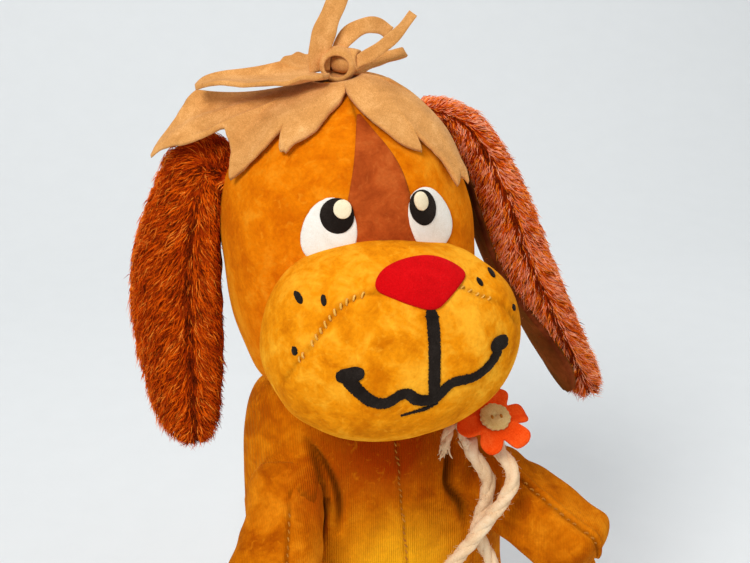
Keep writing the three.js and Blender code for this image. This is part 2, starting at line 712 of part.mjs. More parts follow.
// The smooth lining, a thin skin over the ear's flat side that faces the head or the back.
function earLining(ear) {
  const place = (grow) => (u, v) => {
    const section = earSection(ear, ear.hang, 0.13 + 0.81 * v, 1, LAST_EAR_SIZE);
    return earPoint(section, rad(-58 + 116 * u), grow);
  };
  return wall(6, 9, place(2 * GAP + 0.9), place(2 * GAP));
}

function earParts(name) {
  const ear = EARS[name];
  return [
    part(`${name}_ear_root`, cut(earLoft(ear, ear.root, 0, 1, 3), headInPlace(ROUND_GAP)), MATERIALS.pile),
    part(`${name}_ear_pile`, earLoft(ear, ear.hang, 1, LAST_EAR_SIZE, 11), MATERIALS.pile),
    part(`${name}_ear_lining`, earLining(ear), MATERIALS.brown),
  ];
}

// ---- the yarn tie and the flower ----------------------------------------------------------

// A closed ring of yarn that lies on the glove's shoulders; grow thickens it.
function tieYarn(grow = 0) {
  const [rings, sides] = [28, 8];
  const half = TIE.thickness / 2 + grow;
  const points = [];
  const triangles = [];
  for (let i = 0; i < rings; i++) {
    const angle = (2 * Math.PI * i) / rings;
    const height = TIE.height + SHOULDER_RISE * Math.cos(angle) ** 2;
    for (let k = 0; k < sides; k++) {
      const out = half * Math.cos((2 * Math.PI * (k + 0.5)) / sides);
      points.push(new THREE.Vector3(
        (TIE.halfWidth + out) * Math.cos(angle),
        GLOVE_CENTRE_Y + (TIE.halfDepth + out) * Math.sin(angle),
        height + half * Math.sin((2 * Math.PI * (k + 0.5)) / sides),
      ));
    }
  }
  for (let i = 0; i < rings; i++) {
    const next = (i + 1) % rings;
    for (let k = 0; k < sides; k++) {
      const turn = (k + 1) % sides;
      triangles.push([i * sides + k, next * sides + k, next * sides + turn]);
      triangles.push([i * sides + k, next * sides + turn, i * sides + turn]);
    }
  }
  return closed(points, triangles);
}

const KNOT = { centre: [20, -31.5, 144.6], radii: [4.4, 3.6, 3.4] };

function tieKnot() {
  const knot = new THREE.SphereGeometry(1, 12, 8).scale(...KNOT.radii).translate(...KNOT.centre);
  return cut(knot, tieYarn(GAP));
}

function flowerParts() {
  const { petals, reach, hub } = FLOWER;
  const ring = (height) => (u, v) => {
    const angle = 2 * Math.PI * u;
    const lobe = 1 - 0.27 * Math.abs(Math.cos((petals * angle) / 2)) ** 3;
    const r = 1.2 + (reach * lobe - 1.2) * v;
    return new THREE.Vector3(r * Math.cos(angle), r * Math.sin(angle), height - 0.6 * v * v);
  };
  const group = new THREE.Group();
  group.add(part('flower_petals', wall(36, 2, ring(FELT), ring(0), true), MATERIALS.orange));
  const centre = new THREE.CylinderGeometry(hub, hub, FELT, 18).rotateX(Math.PI / 2);
  centre.translate(0, 0, FELT * 1.5 + GAP);
  group.add(part('flower_centre', centre, MATERIALS.tan));
  group.position.set(...FLOWER.centre);
  group.quaternion.setFromUnitVectors(new THREE.Vector3(0, 0, 1), vec(FLOWER.normal).normalize());
  return group;
}

// ---- assembly -----------------------------------------------------------------------------

function part(name, geometry, material) {
  const mesh = new THREE.Mesh(geometry, material);
  mesh.name = name;
  return mesh;
}

function headGroup() {
  const group = new THREE.Group();
  group.add(part('head_left_cover', headCover(-1), MATERIALS.gold));
  group.add(part('head_right_cover', headCover(1), MATERIALS.gold));
  group.add(part('head_stuffing', headStuffing(), MATERIALS.fill));
  group.add(part('finger_tube', fingerTube(), MATERIALS.board));
  group.add(part('forehead_blaze', foreheadBlaze(), MATERIALS.brown));
  group.add(part('muzzle_upper_cover', muzzleCover(8, MUZZLE_SEAM - 0.3), MATERIALS.gold));
  group.add(part('muzzle_lower_cover', muzzleCover(MUZZLE_SEAM + 0.3, 172), MATERIALS.gold));
  group.add(part('muzzle_stuffing', muzzleStuffing(), MATERIALS.fill));
  group.add(part('nose', nose(), MATERIALS.red));
  group.add(part('mouth_line', mouth(), MATERIALS.black));
  group.add(...EYES.flatMap(eyeParts), ...whiskerDots(), ...hairParts(), ...topknotParts());
  placeHead(group);
  return group;
}

function placeHead(object) {
  const { yaw, roll, pitch } = HEAD_TURN;
  object.rotation.set(rad(pitch), rad(roll), rad(yaw), 'ZYX');
  object.position.copy(NECK);
}

// The head's outer shape where it stands in the puppet, as a cutting tool.
function headInPlace(grow) {
  const holder = new THREE.Group();
  placeHead(holder);
  holder.updateMatrix();
  return eggSolid(HEAD, grow).applyMatrix4(holder.matrix);
}

const puppet = new THREE.Group();
puppet.add(part('glove_front_left_panel', glovePanel(180, 270, 9), MATERIALS.gold));
puppet.add(part('glove_front_right_panel', glovePanel(270, 360, 9), MATERIALS.gold));
puppet.add(part('glove_back_panel', glovePanel(0, 180, 16), MATERIALS.gold));
puppet.add(part('hem_band', hemBand(), MATERIALS.gold));
puppet.add(part('neck_sleeve', ballBelt(NECK_BALL, 22).translate(...NECK.toArray()), MATERIALS.gold));
puppet.add(armGroup('left'), armGroup('right'), headGroup());
puppet.add(...earParts('left'), ...earParts('right'));
puppet.add(part('tie_yarn', tieYarn(), MATERIALS.yarn));
puppet.add(part('tie_knot', tieKnot(), MATERIALS.yarn));
const TAIL_LEFT = [[17, -35.6, 142.4], [16, -37, 140], [15.6, -37.3, 136.6]];
const TAIL_RIGHT = [[20.6, -36, 141.2], [20.4, -36.6, 139.4], [19.8, -36.6, 136.6]];
puppet.add(part('tie_tail_left', cord(TAIL_LEFT, 3.4, 3), MATERIALS.yarn));
puppet.add(part('tie_tail_right', cord(TAIL_RIGHT, 3, 3), MATERIALS.yarn));
puppet.add(flowerParts());
puppet.add(part('yarn_strand_left', cord(STRANDS.left, YARN, 24), MATERIALS.yarn));
puppet.add(part('yarn_strand_right', cord(STRANDS.right, YARN, 24), MATERIALS.yarn));
puppet.position.set(...FRAME_SHIFT);

export default puppet;
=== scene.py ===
# The looks of a velveteen dog hand puppet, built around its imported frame.
# Helper lengths are millimetres in the drawing frame, which SHIFT moves onto the part's.
import math

import bmesh
import bpy
import numpy as np
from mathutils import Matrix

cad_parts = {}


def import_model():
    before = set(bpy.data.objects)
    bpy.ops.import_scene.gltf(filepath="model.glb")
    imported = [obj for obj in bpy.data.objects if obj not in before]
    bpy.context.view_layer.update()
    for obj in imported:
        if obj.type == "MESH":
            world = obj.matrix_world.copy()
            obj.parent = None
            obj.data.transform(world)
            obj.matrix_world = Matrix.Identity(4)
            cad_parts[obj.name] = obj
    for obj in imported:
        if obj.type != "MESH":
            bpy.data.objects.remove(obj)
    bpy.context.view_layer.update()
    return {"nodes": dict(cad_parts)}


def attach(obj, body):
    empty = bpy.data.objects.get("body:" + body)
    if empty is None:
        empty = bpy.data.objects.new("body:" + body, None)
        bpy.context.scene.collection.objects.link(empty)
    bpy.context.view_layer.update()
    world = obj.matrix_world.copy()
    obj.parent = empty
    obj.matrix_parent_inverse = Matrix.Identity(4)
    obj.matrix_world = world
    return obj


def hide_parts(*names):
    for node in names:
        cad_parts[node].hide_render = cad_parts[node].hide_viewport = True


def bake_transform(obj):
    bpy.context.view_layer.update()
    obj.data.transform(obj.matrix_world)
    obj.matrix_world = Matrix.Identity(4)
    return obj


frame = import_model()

MM = 0.001
SHIFT = np.array([-0.971, 16.461, 0.0])


def world(points):
    return (np.asarray(points, float) + SHIFT) * MM


def add_object(name, data):
    obj = bpy.data.objects.new(name, data)
    bpy.context.scene.collection.objects.link(obj)
    return obj


def unit(vectors):
    """Vectors scaled to a length of 1."""
    return vectors / np.linalg.norm(vectors, axis=-1, keepdims=True)


def walk(line):
    """How far along a line each of its points is."""
    return np.concatenate([[0], np.cumsum(np.linalg.norm(np.diff(line, axis=0), axis=1))])


def full_turn(count):
    return np.linspace(0, 2 * math.pi, count, endpoint=False)


def turned(angle, start):
    """An angle measured from a start, from -pi to pi."""
    return (angle - start + math.pi) % (2 * math.pi) - math.pi


def bell(x, width):
    """A smooth bump of height 1 where x is 0."""
    return np.exp(-((x / width) ** 2))


def smoothstep(x, low, high):
    t = np.clip((np.asarray(x, float) - low) / (high - low), 0, 1)
    return t * t * (3 - 2 * t)


# ---- materials ---------------------------------------------------------------------------


class Nodes:
    """A material's node tree, with short names for the nodes used here."""

    def __init__(self, name, roughness=0.9, sheen=0.0, sheen_tint=(1, 1, 1), specular=0.2):
        self.material = bpy.data.materials.new(name)
        self.material.use_nodes = True
        self.tree = self.material.node_tree
        self.shader = self.tree.nodes["Principled BSDF"]
        self.shader.inputs["Roughness"].default_value = roughness
        self.shader.inputs["Specular IOR Level"].default_value = specular
        self.shader.inputs["Sheen Weight"].default_value = sheen
        self.shader.inputs["Sheen Roughness"].default_value = 0.45
        self.shader.inputs["Sheen Tint"].default_value = (*sheen_tint, 1)
        self.where = self.tree.nodes.new("ShaderNodeTexCoord").outputs["Object"]

    def link(self, a, b):
        self.tree.links.new(a, b)

    def noise(self, scale, detail=3.0, rough=0.55, stretch=None, distortion=0.0):
        node = self.tree.nodes.new("ShaderNodeTexNoise")
        node.inputs["Scale"].default_value = scale
        node.inputs["Detail"].default_value = detail
        node.inputs["Roughness"].default_value = rough
        node.inputs["Distortion"].default_value = distortion
        where = self.where
        if stretch:
            mapping = self.tree.nodes.new("ShaderNodeMapping")
            mapping.inputs["Scale"].default_value = stretch
            self.link(self.where, mapping.inputs["Vector"])
            where = mapping.outputs["Vector"]
        self.link(where, node.inputs["Vector"])
        return node.outputs["Fac"]

    def bands(self, pitch, direction="X", distortion=2.0):
        node = self.tree.nodes.new("ShaderNodeTexWave")
        node.bands_direction = direction
        node.inputs["Scale"].default_value = 2 * math.pi / (20 * pitch)
        node.inputs["Distortion"].default_value = distortion
        node.inputs["Detail"].default_value = 2.0
        node.inputs["Detail Scale"].default_value = 1.5
        self.link(self.where, node.inputs["Vector"])
        return node.outputs["Fac"]

    def math(self, kind, a, b, clamp=False):
        node = self.tree.nodes.new("ShaderNodeMath")
        node.operation = kind
        node.use_clamp = clamp
        for socket, value in zip(node.inputs, (a, b)):
            if isinstance(value, (int, float)):
                socket.default_value = value
            else:
                self.link(value, socket)
        return node.outputs[0]

    def ramp(self, fac, stops):
        node = self.tree.nodes.new("ShaderNodeValToRGB")
        while len(node.color_ramp.elements) < len(stops):
            node.color_ramp.elements.new(0.5)
        for element, (place, colour) in zip(node.color_ramp.elements, stops):
            element.position = place
            element.color = (*colour, 1)
        self.link(fac, node.inputs["Fac"])
        return node.outputs["Color"]

    def mix(self, fac, a, b, kind="MIX"):
        node = self.tree.nodes.new("ShaderNodeMix")
        node.data_type = "RGBA"
        node.blend_type = kind
        for socket, value in ((node.inputs[0], fac), (node.inputs[6], a), (node.inputs[7], b)):
            if isinstance(value, tuple):
                socket.default_value = (*value, 1)
            elif isinstance(value, (int, float)):
                socket.default_value = value
            else:
                self.link(value, socket)
        return node.outputs[2]

    def spot(self, centre, radius, soft=0.5):
        """1 inside a round spot about a point in the drawing frame, falling to 0 outside it."""
        node = self.tree.nodes.new("ShaderNodeVectorMath")
        node.operation = "DISTANCE"
        self.link(self.where, node.inputs[0])
        node.inputs[1].default_value = tuple(world(centre))
        reach = self.tree.nodes.new("ShaderNodeMapRange")
        reach.interpolation_type = "SMOOTHSTEP"
        limits = {"From Min": radius * MM * soft, "From Max": radius * MM, "To Min": 1, "To Max": 0}
        for name, value in limits.items():
            reach.inputs[name].default_value = value
        self.link(node.outputs["Value"], reach.inputs["Value"])
        return reach.outputs["Result"]

    def bump(self, height, distance, strength=1.0):
        node = self.tree.nodes.new("ShaderNodeBump")
        node.inputs["Strength"].default_value = strength
        node.inputs["Distance"].default_value = distance * MM
        self.link(height, node.inputs["Height"])
        self.link(node.outputs["Normal"], self.shader.inputs["Normal"])

    def colour(self, output):
        self.link(output, self.shader.inputs["Base Color"])
        return self.material


def velveteen(name, deep, middle, light, painted_light_spots=(), ribs=0.0):
    """Napped cotton: patches where the pile lies one way or the other, over fine ribs."""
    n = Nodes(name, roughness=0.92, sheen=0.16, sheen_tint=(1.0, 0.5, 0.04), specular=0.015)
    patches = n.noise(38, 4.0, 0.6, distortion=0.9)
    nap = n.noise(160, 4.0, 0.65, distortion=0.6)
    speckle = n.noise(900, 2.0, 0.6)
    fac = n.math("ADD", n.math("MULTIPLY", patches, 0.62), n.math("MULTIPLY", nap, 0.38))
    colour = n.ramp(fac, [(0.39, deep), (0.50, middle), (0.62, light)])
    # Painted light: round spots mix the colour towards a darker or paler tone, darker where shade falls,
    # paler where light falls.
    for centre, radius, tone, strength in painted_light_spots:
        fac_spot = n.math("MULTIPLY", n.spot(centre, radius, 0.1), strength)
        colour = n.mix(n.math("MULTIPLY", fac_spot, n.math("ADD", patches, 0.35)), colour, tone)
    # Random paler patches of worn pile, the cloth's own colour.
    wear_and_painted_shade = n.math("MULTIPLY", n.math("SUBTRACT", n.noise(330, 2.0, 0.5, distortion=1.2), 0.60), 7.0, True)
    colour = n.mix(n.math("MULTIPLY", wear_and_painted_shade, 0.42), colour, light)
    grain = n.math("MULTIPLY", n.math("SUBTRACT", speckle, 0.5), 0.5)
    grain_tone = n.ramp(n.math("ADD", grain, 0.5), [(0.0, (0.62, 0.60, 0.55)), (1.0, (1.35, 1.36, 1.42))])
    colour = n.mix(1.0, colour, grain_tone, "MULTIPLY")
    # The crease attribute darkens the cloth towards a near-black brown: painted shade in creases and seam
    # grooves, round the sleeves' roots and high in the ear linings.
    painted_shade_attribute = n.tree.nodes.new("ShaderNodeAttribute")
    painted_shade_attribute.attribute_name = "crease"
    colour = n.mix(painted_shade_attribute.outputs["Fac"], colour, tuple(0.16 * c for c in deep))
    height = n.math("ADD", n.math("MULTIPLY", speckle, 0.7), n.math("MULTIPLY", nap, 0.5))
    if ribs:
        rib = n.bands(0.00075, "X", 1.2)
        height = n.math("ADD", height, n.math("MULTIPLY", rib, ribs))
        colour = n.mix(n.math("MULTIPLY", n.math("SUBTRACT", 1.0, rib), 0.30 * ribs), colour, deep)
    n.bump(height, 0.5, 0.6)
    return n.colour(colour)


def felt(name, low, middle, high, scale=1.0, sheen=0.15, stains=(), tint=(1.0, 0.8, 0.6)):
    """Pressed wool: fine tangled fibres, a little paler where they stand up."""
    n = Nodes(name, roughness=0.95, sheen=sheen, sheen_tint=tint, specular=0.05)
    tangle = n.noise(1100 * scale, 4.0, 0.75, stretch=(1, 0.45, 1), distortion=2.5)
    cloud = n.noise(90 * scale, 4.0, 0.6, distortion=0.8)
    fac = n.math("ADD", n.math("MULTIPLY", tangle, 0.55), n.math("MULTIPLY", cloud, 0.45))
    colour = n.ramp(fac, [(0.34, low), (0.5, middle), (0.66, high)])
    for centre, radius, tone, strength in stains:
        colour = n.mix(n.math("MULTIPLY", n.spot(centre, radius, 0.15), strength), colour, tone)
    n.bump(n.math("ADD", tangle, n.math("MULTIPLY", cloud, 0.4)), 0.35, 0.7)
    return n.colour(colour)


def fibre(name, dark, light, sheen=0.05, roughness=0.8):
    n = Nodes(name, roughness=roughness, sheen=sheen, sheen_tint=(1.0, 0.5, 0.2), specular=0.02)
    return n.colour(n.ramp(n.noise(260, 2.0), [(0.35, dark), (0.65, light)]))


def card(name):
    n = Nodes(name, roughness=0.85)
    layer = n.noise(300, 3.0, stretch=(1, 1, 0.15))
    n.bump(layer, 0.2, 0.4)
    return n.colour(n.ramp(layer, [(0.35, (0.30, 0.19, 0.10)), (0.65, (0.46, 0.32, 0.19))]))


# Painted shadow and light on the glove and sleeves: dark spots about the neck and shoulders under the head,
# paler spots mid-chest and at the left sleeve's end.
PAINTED_LIGHT_SPOTS = [
    ((-2, -30, 136), 34, (0.38, 0.034, 0.0004), 1.25),
    ((-24, -32, 122), 18, (0.36, 0.045, 0.0005), 0.9),
    ((28, -24, 130), 24, (0.40, 0.060, 0.0010), 0.9),
    ((2, -32, 84), 33, (0.98, 0.45, 0.011), 1.15),
    ((-52, -50, 88), 26, (0.62, 0.22, 0.0020), 0.8),
]
M = {
    "glove": velveteen("glove_velveteen", (0.40, 0.078, 0.0006), (0.59, 0.150, 0.0012),
                       (0.78, 0.255, 0.006), ribs=0.9, painted_light_spots=PAINTED_LIGHT_SPOTS),
    "sleeve": velveteen("sleeve_velveteen", (0.36, 0.070, 0.0006), (0.54, 0.135, 0.0015),
                        (0.72, 0.225, 0.006), ribs=0.3, painted_light_spots=PAINTED_LIGHT_SPOTS),
    # The head's spot darkens its lower left cheek beside the muzzle: painted shade.
    "head": velveteen("head_velveteen", (0.56, 0.115, 0.0006), (0.70, 0.175, 0.0015), (0.80, 0.265, 0.010),
                      painted_light_spots=[((-30, -34, 172), 26, (0.60, 0.110, 0.0005), 1.0)]),
    "muzzle": velveteen("muzzle_velveteen", (0.56, 0.150, 0.0010), (0.76, 0.250, 0.0035),
                        (0.90, 0.400, 0.022)),
    "blaze": velveteen("blaze_velveteen", (0.28, 0.040, 0.006), (0.41, 0.070, 0.011), (0.54, 0.125, 0.024)),
    # Dark brown, partly the lining's own colour and partly painted shade, as the lining hangs in the ear's
    # shadow.
    "lining": velveteen("lining_velveteen", (0.08, 0.014, 0.004), (0.14, 0.026, 0.007), (0.24, 0.050, 0.015)),
    "tan": felt("tan_felt", (0.46, 0.19, 0.045), (0.66, 0.30, 0.083), (0.86, 0.46, 0.17)),
    "white": felt("white_felt", (0.74, 0.68, 0.58), (0.85, 0.81, 0.73), (0.92, 0.90, 0.85), 1.2,
                  stains=[((-21.5, -54, 184), 6.0, (0.52, 0.27, 0.05), 0.85)]),
    "black": felt("black_felt", (0.008, 0.005, 0.004), (0.014, 0.010, 0.008), (0.032, 0.024, 0.020), 1.4,
                  0.05),
    "cream": felt("cream_felt", (0.74, 0.58, 0.36), (0.86, 0.74, 0.50), (0.92, 0.83, 0.62), 1.2),
    "red": felt("red_felt", (0.46, 0.001, 0.002), (0.60, 0.002, 0.004), (0.74, 0.006, 0.008), 1.0, 0.04,
                tint=(1.0, 0.2, 0.2)),
    "orange": felt("orange_felt", (0.70, 0.040, 0.002), (0.86, 0.070, 0.004), (0.96, 0.14, 0.022), 1.0,
                   0.06, tint=(1.0, 0.4, 0.2)),
    "flower_centre": felt("flower_centre_felt", (0.40, 0.22, 0.06), (0.62, 0.40, 0.14), (0.76, 0.55, 0.25),
                          1.2),
    "yarn": felt("cream_yarn", (0.68, 0.42, 0.22), (0.85, 0.60, 0.36), (0.94, 0.76, 0.54), 1.3, 0.2),
    "pile_root": fibre("pile_root", (0.10, 0.009, 0.001), (0.20, 0.020, 0.001)),
    "pile_dark": fibre("pile_dark", (0.34, 0.028, 0.001), (0.48, 0.048, 0.001)),
    "pile_middle": fibre("pile_middle", (0.62, 0.075, 0.001), (0.80, 0.125, 0.003)),
    "pile_light": fibre("pile_light", (0.84, 0.180, 0.010), (0.95, 0.300, 0.035)),
    "pile_pink": fibre("pile_pink", (0.84, 0.240, 0.110), (0.97, 0.450, 0.270)),
    "thread": felt("pale_thread", (0.62, 0.27, 0.03), (0.80, 0.42, 0.07), (0.90, 0.56, 0.16), 1.5),
    "brown_thread": felt("brown_thread", (0.30, 0.090, 0.008), (0.48, 0.170, 0.016), (0.62, 0.27, 0.04), 1.5),
    "fill": felt("fibre_fill", (0.60, 0.56, 0.50), (0.74, 0.71, 0.65), (0.85, 0.83, 0.78)),
    "card": card("finger_card"),
}


# ---- meshes ------------------------------------------------------------------------------


def piece(name, points, faces, look, body, replaces=(), materials=None, index=None, smooth=True, wear_and_painted_shade=None):
    """A mesh object from points in the drawing frame, riding on a body; a painted shade per point darkens its
    cloth.
    """
    mesh = bpy.data.meshes.new(name)
    points = world(points)
    faces = [tuple(int(i) for i in f) for f in faces] if not isinstance(faces, np.ndarray) else faces.tolist()
    mesh.from_pydata(points.tolist(), [], faces)
    for key in materials or [look]:
        mesh.materials.append(M[key])
    if index is not None:
        mesh.polygons.foreach_set("material_index", np.asarray(index, np.int32))
    if smooth:
        mesh.polygons.foreach_set("use_smooth", np.ones(len(mesh.polygons), bool))
    # The painted shade goes into the crease attribute, which the velveteen looks darken by.
    if wear_and_painted_shade is not None:
        depth = np.zeros(len(points), np.float32)
        depth[:np.size(wear_and_painted_shade)] = np.ravel(wear_and_painted_shade)
        mesh.attributes.new("crease", "FLOAT", "POINT").data.foreach_set("value", depth)
    mesh.update()
    obj = add_object(name, mesh)
    if body:
        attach(obj, body)
    if replaces:
        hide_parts(*replaces)
    return obj


def face_out(points, faces):
    """Turns every face over if the closed mesh is inside out."""
    p = np.asarray(points, float)
    total = 0.0
    for f in faces:
        for k in range(1, len(f) - 1):
            total += np.dot(p[f[0]], np.cross(p[f[k]], p[f[k + 1]]))
    return faces if total > 0 else [tuple(reversed(f)) for f in faces]


def grid_shell(outer, inner, wrap=False):
    """A closed shell between two grids of points, rows by columns by 3."""
    rows, columns, _ = outer.shape
    points = np.concatenate([outer.reshape(-1, 3), inner.reshape(-1, 3)])
    layer = rows * columns
    faces = []
    spans = columns if wrap else columns - 1

    def at(side, j, i):
        return side * layer + j * columns + i % columns

    for j in range(rows - 1):
        for i in range(spans):
            faces.append((at(0, j, i), at(0, j, i + 1), at(0, j + 1, i + 1), at(0, j + 1, i)))
            faces.append((at(1, j + 1, i), at(1, j + 1, i + 1), at(1, j, i + 1), at(1, j, i)))
    for i in range(spans):
        faces.append((at(1, 0, i), at(1, 0, i + 1), at(0, 0, i + 1), at(0, 0, i)))
        faces.append((at(0, rows - 1, i), at(0, rows - 1, i + 1), at(1, rows - 1, i + 1), at(1, rows - 1, i)))
    if not wrap:
        for j in range(rows - 1):
            faces.append((at(0, j, 0), at(0, j + 1, 0), at(1, j + 1, 0), at(1, j, 0)))
            last = columns - 1
            faces.append((at(1, j, last), at(1, j + 1, last), at(0, j + 1, last), at(0, j, last)))
    return points, face_out(points, faces)


def ring_faces(rows, columns, closed=False):
    """Quads between closed rings of points, and from the last ring to the first where they close."""
    faces = []
    for j in range(rows if closed else rows - 1):
        here, there = j * columns, (j + 1) % rows * columns
        for i in range(columns):
            k = (i + 1) % columns
            faces.append((here + i, here + k, there + k, there + i))
    return faces


def tube(path, radius, sides=10):
    """A round tube along points; radius may be one number or one for each point."""
    path = np.asarray(path, float)
    radius = np.broadcast_to(radius, len(path))
    ahead = unit(np.gradient(path, axis=0))
    side = np.cross(ahead[0], (0.3, 0.2, 1.0))
    turn = 2 * math.pi * np.arange(sides) / sides
    points = []
    for p, t, r in zip(path, ahead, radius):
        side = unit(side - t * np.dot(side, t))
        up = np.cross(t, side)
        points.append(p + r * (np.outer(np.cos(turn), side) + np.outer(np.sin(turn), up)))
    faces = ring_faces(len(path), sides)
    faces.append(tuple(reversed(range(sides))))
    last = (len(path) - 1) * sides
    faces.append(tuple(range(last, last + sides)))
    return np.concatenate(points), faces


def merge(parts):
    """Several (points, faces) as one."""
    points, faces, start = [], [], 0
    for p, f in parts:
        points.append(np.asarray(p, float))
        faces += [tuple(i + start for i in face) for face in f]
        start += len(p)
    return np.concatenate(points), faces


def spline(points, count):
    """A Catmull-Rom line through points, evenly sampled along its length."""
    p = np.asarray(points, float)
    p = np.vstack([2 * p[0] - p[1], p, 2 * p[-1] - p[-2]])
    line = []
    for k in range(1, len(p) - 2):
        for t in np.linspace(0, 1, 24, endpoint=False):
            a, b, c, d = p[k - 1], p[k], p[k + 1], p[k + 2]
            square, cube = 2 * a - 5 * b + 4 * c - d, 3 * b - a - 3 * c + d
            line.append(0.5 * (2 * b + (c - a) * t + square * t**2 + cube * t**3))
    line.append(p[-2])
    line = np.array(line)
    walked = walk(line)
    even = np.linspace(0, walked[-1], count)
    return np.stack([np.interp(even, walked, line[:, k]) for k in range(line.shape[1])], 1)


def wave3(points, size, seed=0.0):
    """Smooth vector noise from a few sines, about -1 to 1, for soft lumps."""
    p = np.asarray(points, float) / size + seed
    x, y, z = p[..., 0], p[..., 1], p[..., 2]
    return np.stack([
        np.sin(1.7 * y + 1.1 * z + 2.1 * np.sin(0.9 * x)) * np.cos(1.3 * x - 0.7 * z),
        np.sin(1.9 * x - 1.3 * z + 1.7 * np.sin(1.1 * y)) * np.cos(1.1 * y + 0.9 * x),
        np.sin(1.5 * x + 1.2 * y + 1.9 * np.sin(0.8 * z)) * np.cos(1.2 * z - 0.8 * y),
    ], -1)


# ---- the head's frame and egg shapes ------------------------------------------------------

def spin(angle):
    """The matrix that turns points about the upright axis, in radians."""
    c, s = math.cos(angle), math.sin(angle)
    return np.array([[c, -s, 0], [s, c, 0], [0, 0, 1]])


NECK = np.array([-3.5, 2.5, 147.0])


def turn_matrix(pitch, roll, yaw):
    a, b, c = (math.radians(v) for v in (pitch, roll, yaw))
    rx = np.array([[1, 0, 0], [0, math.cos(a), -math.sin(a)], [0, math.sin(a), math.cos(a)]])
    ry = np.array([[math.cos(b), 0, math.sin(b)], [0, 1, 0], [-math.sin(b), 0, math.cos(b)]])
    return spin(c) @ ry @ rx


HEAD_TURN = turn_matrix(-5, -4.5, 5.5)


def from_head(points):
    """Points of the head's own frame, softened by the stuffing's lumps, in the drawing frame."""
    p = np.array(points, float)
    back = smoothstep(p[..., 1], -48, -24)
    p[..., 0] -= back * (3.0 * smoothstep(-p[..., 0], 10, 40) + 1.4 * smoothstep(p[..., 0], 10, 40))
    p = p + 0.55 * wave3(p, 11.0)
    return p @ HEAD_TURN.T + NECK


HEAD = {"centre": (0, -8, 54), "a": 40.5, "b": 38, "top": 48, "bottom": 58, "full": 0.88}
MUZZLE = {"centre": (-0.8, -46, 28.2), "a": 41, "b": 29, "top": 30.5, "bottom": 30.5, "full": 0.86}


def egg_point(egg, t, f, grow=0.0):
    t, f = np.broadcast_arrays(np.asarray(t, float), np.asarray(f, float))
    w = np.sin(t) ** egg["full"]
    reach = np.where(np.cos(t) > 0, egg["top"], egg["bottom"]) + grow
    from_centre = [(egg["a"] + grow) * w * np.cos(f), (egg["b"] + grow) * w * np.sin(f), reach * np.cos(t)]
    return egg["centre"] + np.stack(from_centre, -1)


def egg_level(egg, points, grow=0.0):
    """Below 1 inside the egg, above 1 outside."""
    q = np.asarray(points, float) - egg["centre"]
    reach = np.where(q[..., 2] > 0, egg["top"], egg["bottom"]) + grow
    inside = np.clip(1 - (q[..., 2] / reach) ** 2, 1e-9, None) ** egg["full"]
    level = ((q[..., 0] / (egg["a"] + grow)) ** 2 + (q[..., 1] / (egg["b"] + grow)) ** 2) / inside
    return np.where(np.abs(q[..., 2]) < reach, level, 9.0)


def cast_out(egg, start, ahead, lift):
    """Where lines from inside the egg leave it, lifted off its skin."""
    start, ahead = np.broadcast_arrays(np.asarray(start, float), np.asarray(ahead, float))
    near, far = np.zeros(start.shape[:-1]), np.full(start.shape[:-1], 90.0)
    for _ in range(32):
        middle = (near + far) / 2
        inside = egg_level(egg, start + ahead * middle[..., None]) < 1
        near, far = np.where(inside, middle, near), np.where(inside, far, middle)
    point = start + ahead * near[..., None]
    slope = []
    for axis in np.eye(3) * 0.05:
        slope.append(egg_level(egg, point + axis) - egg_level(egg, point - axis))
    slope = unit(np.stack(slope, -1))
    return point + slope * np.asarray(lift)[..., None] if np.ndim(lift) else point + slope * lift


def front_of(egg):
    def draw(xz, lift):
        xz = np.asarray(xz, float)
        start = np.stack([xz[..., 0], np.zeros(xz.shape[:-1]), xz[..., 1]], -1) + egg["centre"]
        return cast_out(egg, start, np.array([0.0, -1.0, 0.0]), lift)
    return draw


def facing(egg, direction):
    middle = np.asarray(direction, float)
    side = unit(-np.cross(middle, (0, 0, 1.0)))
    climb = unit(-np.cross(side, middle))
    climb *= np.sign(climb[2])
    side *= np.sign(side[0])

    def draw(xy, lift):
        xy = np.asarray(xy, float)
        ahead = unit(middle + xy[..., :1] * side + xy[..., 1:] * climb)
        return cast_out(egg, np.asarray(egg["centre"], float), ahead, lift)
    return draw


def patch(draw, middle, outline, lift, thickness, rings=7, dome=0.0):
    """A sheet laid on a skin inside an outline, its cut edge rounded over."""
    middle, outline = np.asarray(middle, float), np.asarray(outline, float)
    n = len(outline)
    steps = np.concatenate([np.linspace(0, 0.93, rings), [0.97, 1.0]])
    heights = np.array([*[thickness] * rings, thickness * 0.86, thickness * 0.45])
    heights = heights + dome * (1 - steps**2)
    points, faces = [draw(middle[None], np.array([lift + heights[0]]))], []
    for step, height in zip(steps[1:], heights[1:]):
        points.append(draw(middle + (outline - middle) * step, np.full(n, lift + height)))
    points.append(draw(outline, np.full(n, float(lift))))
    points.append(draw(middle[None], np.array([float(lift)])))
    points = np.concatenate(points)
    count = len(steps)
    for i in range(n):
        j = (i + 1) % n
        faces.append((0, 1 + i, 1 + j))
        for k in range(count - 1):
            a, b = 1 + k * n, 1 + (k + 1) * n
            faces.append((a + i, b + i, b + j, a + j))
        faces.append((len(points) - 1, 1 + (count - 1) * n + j, 1 + (count - 1) * n + i))
    return points, face_out(points, faces)


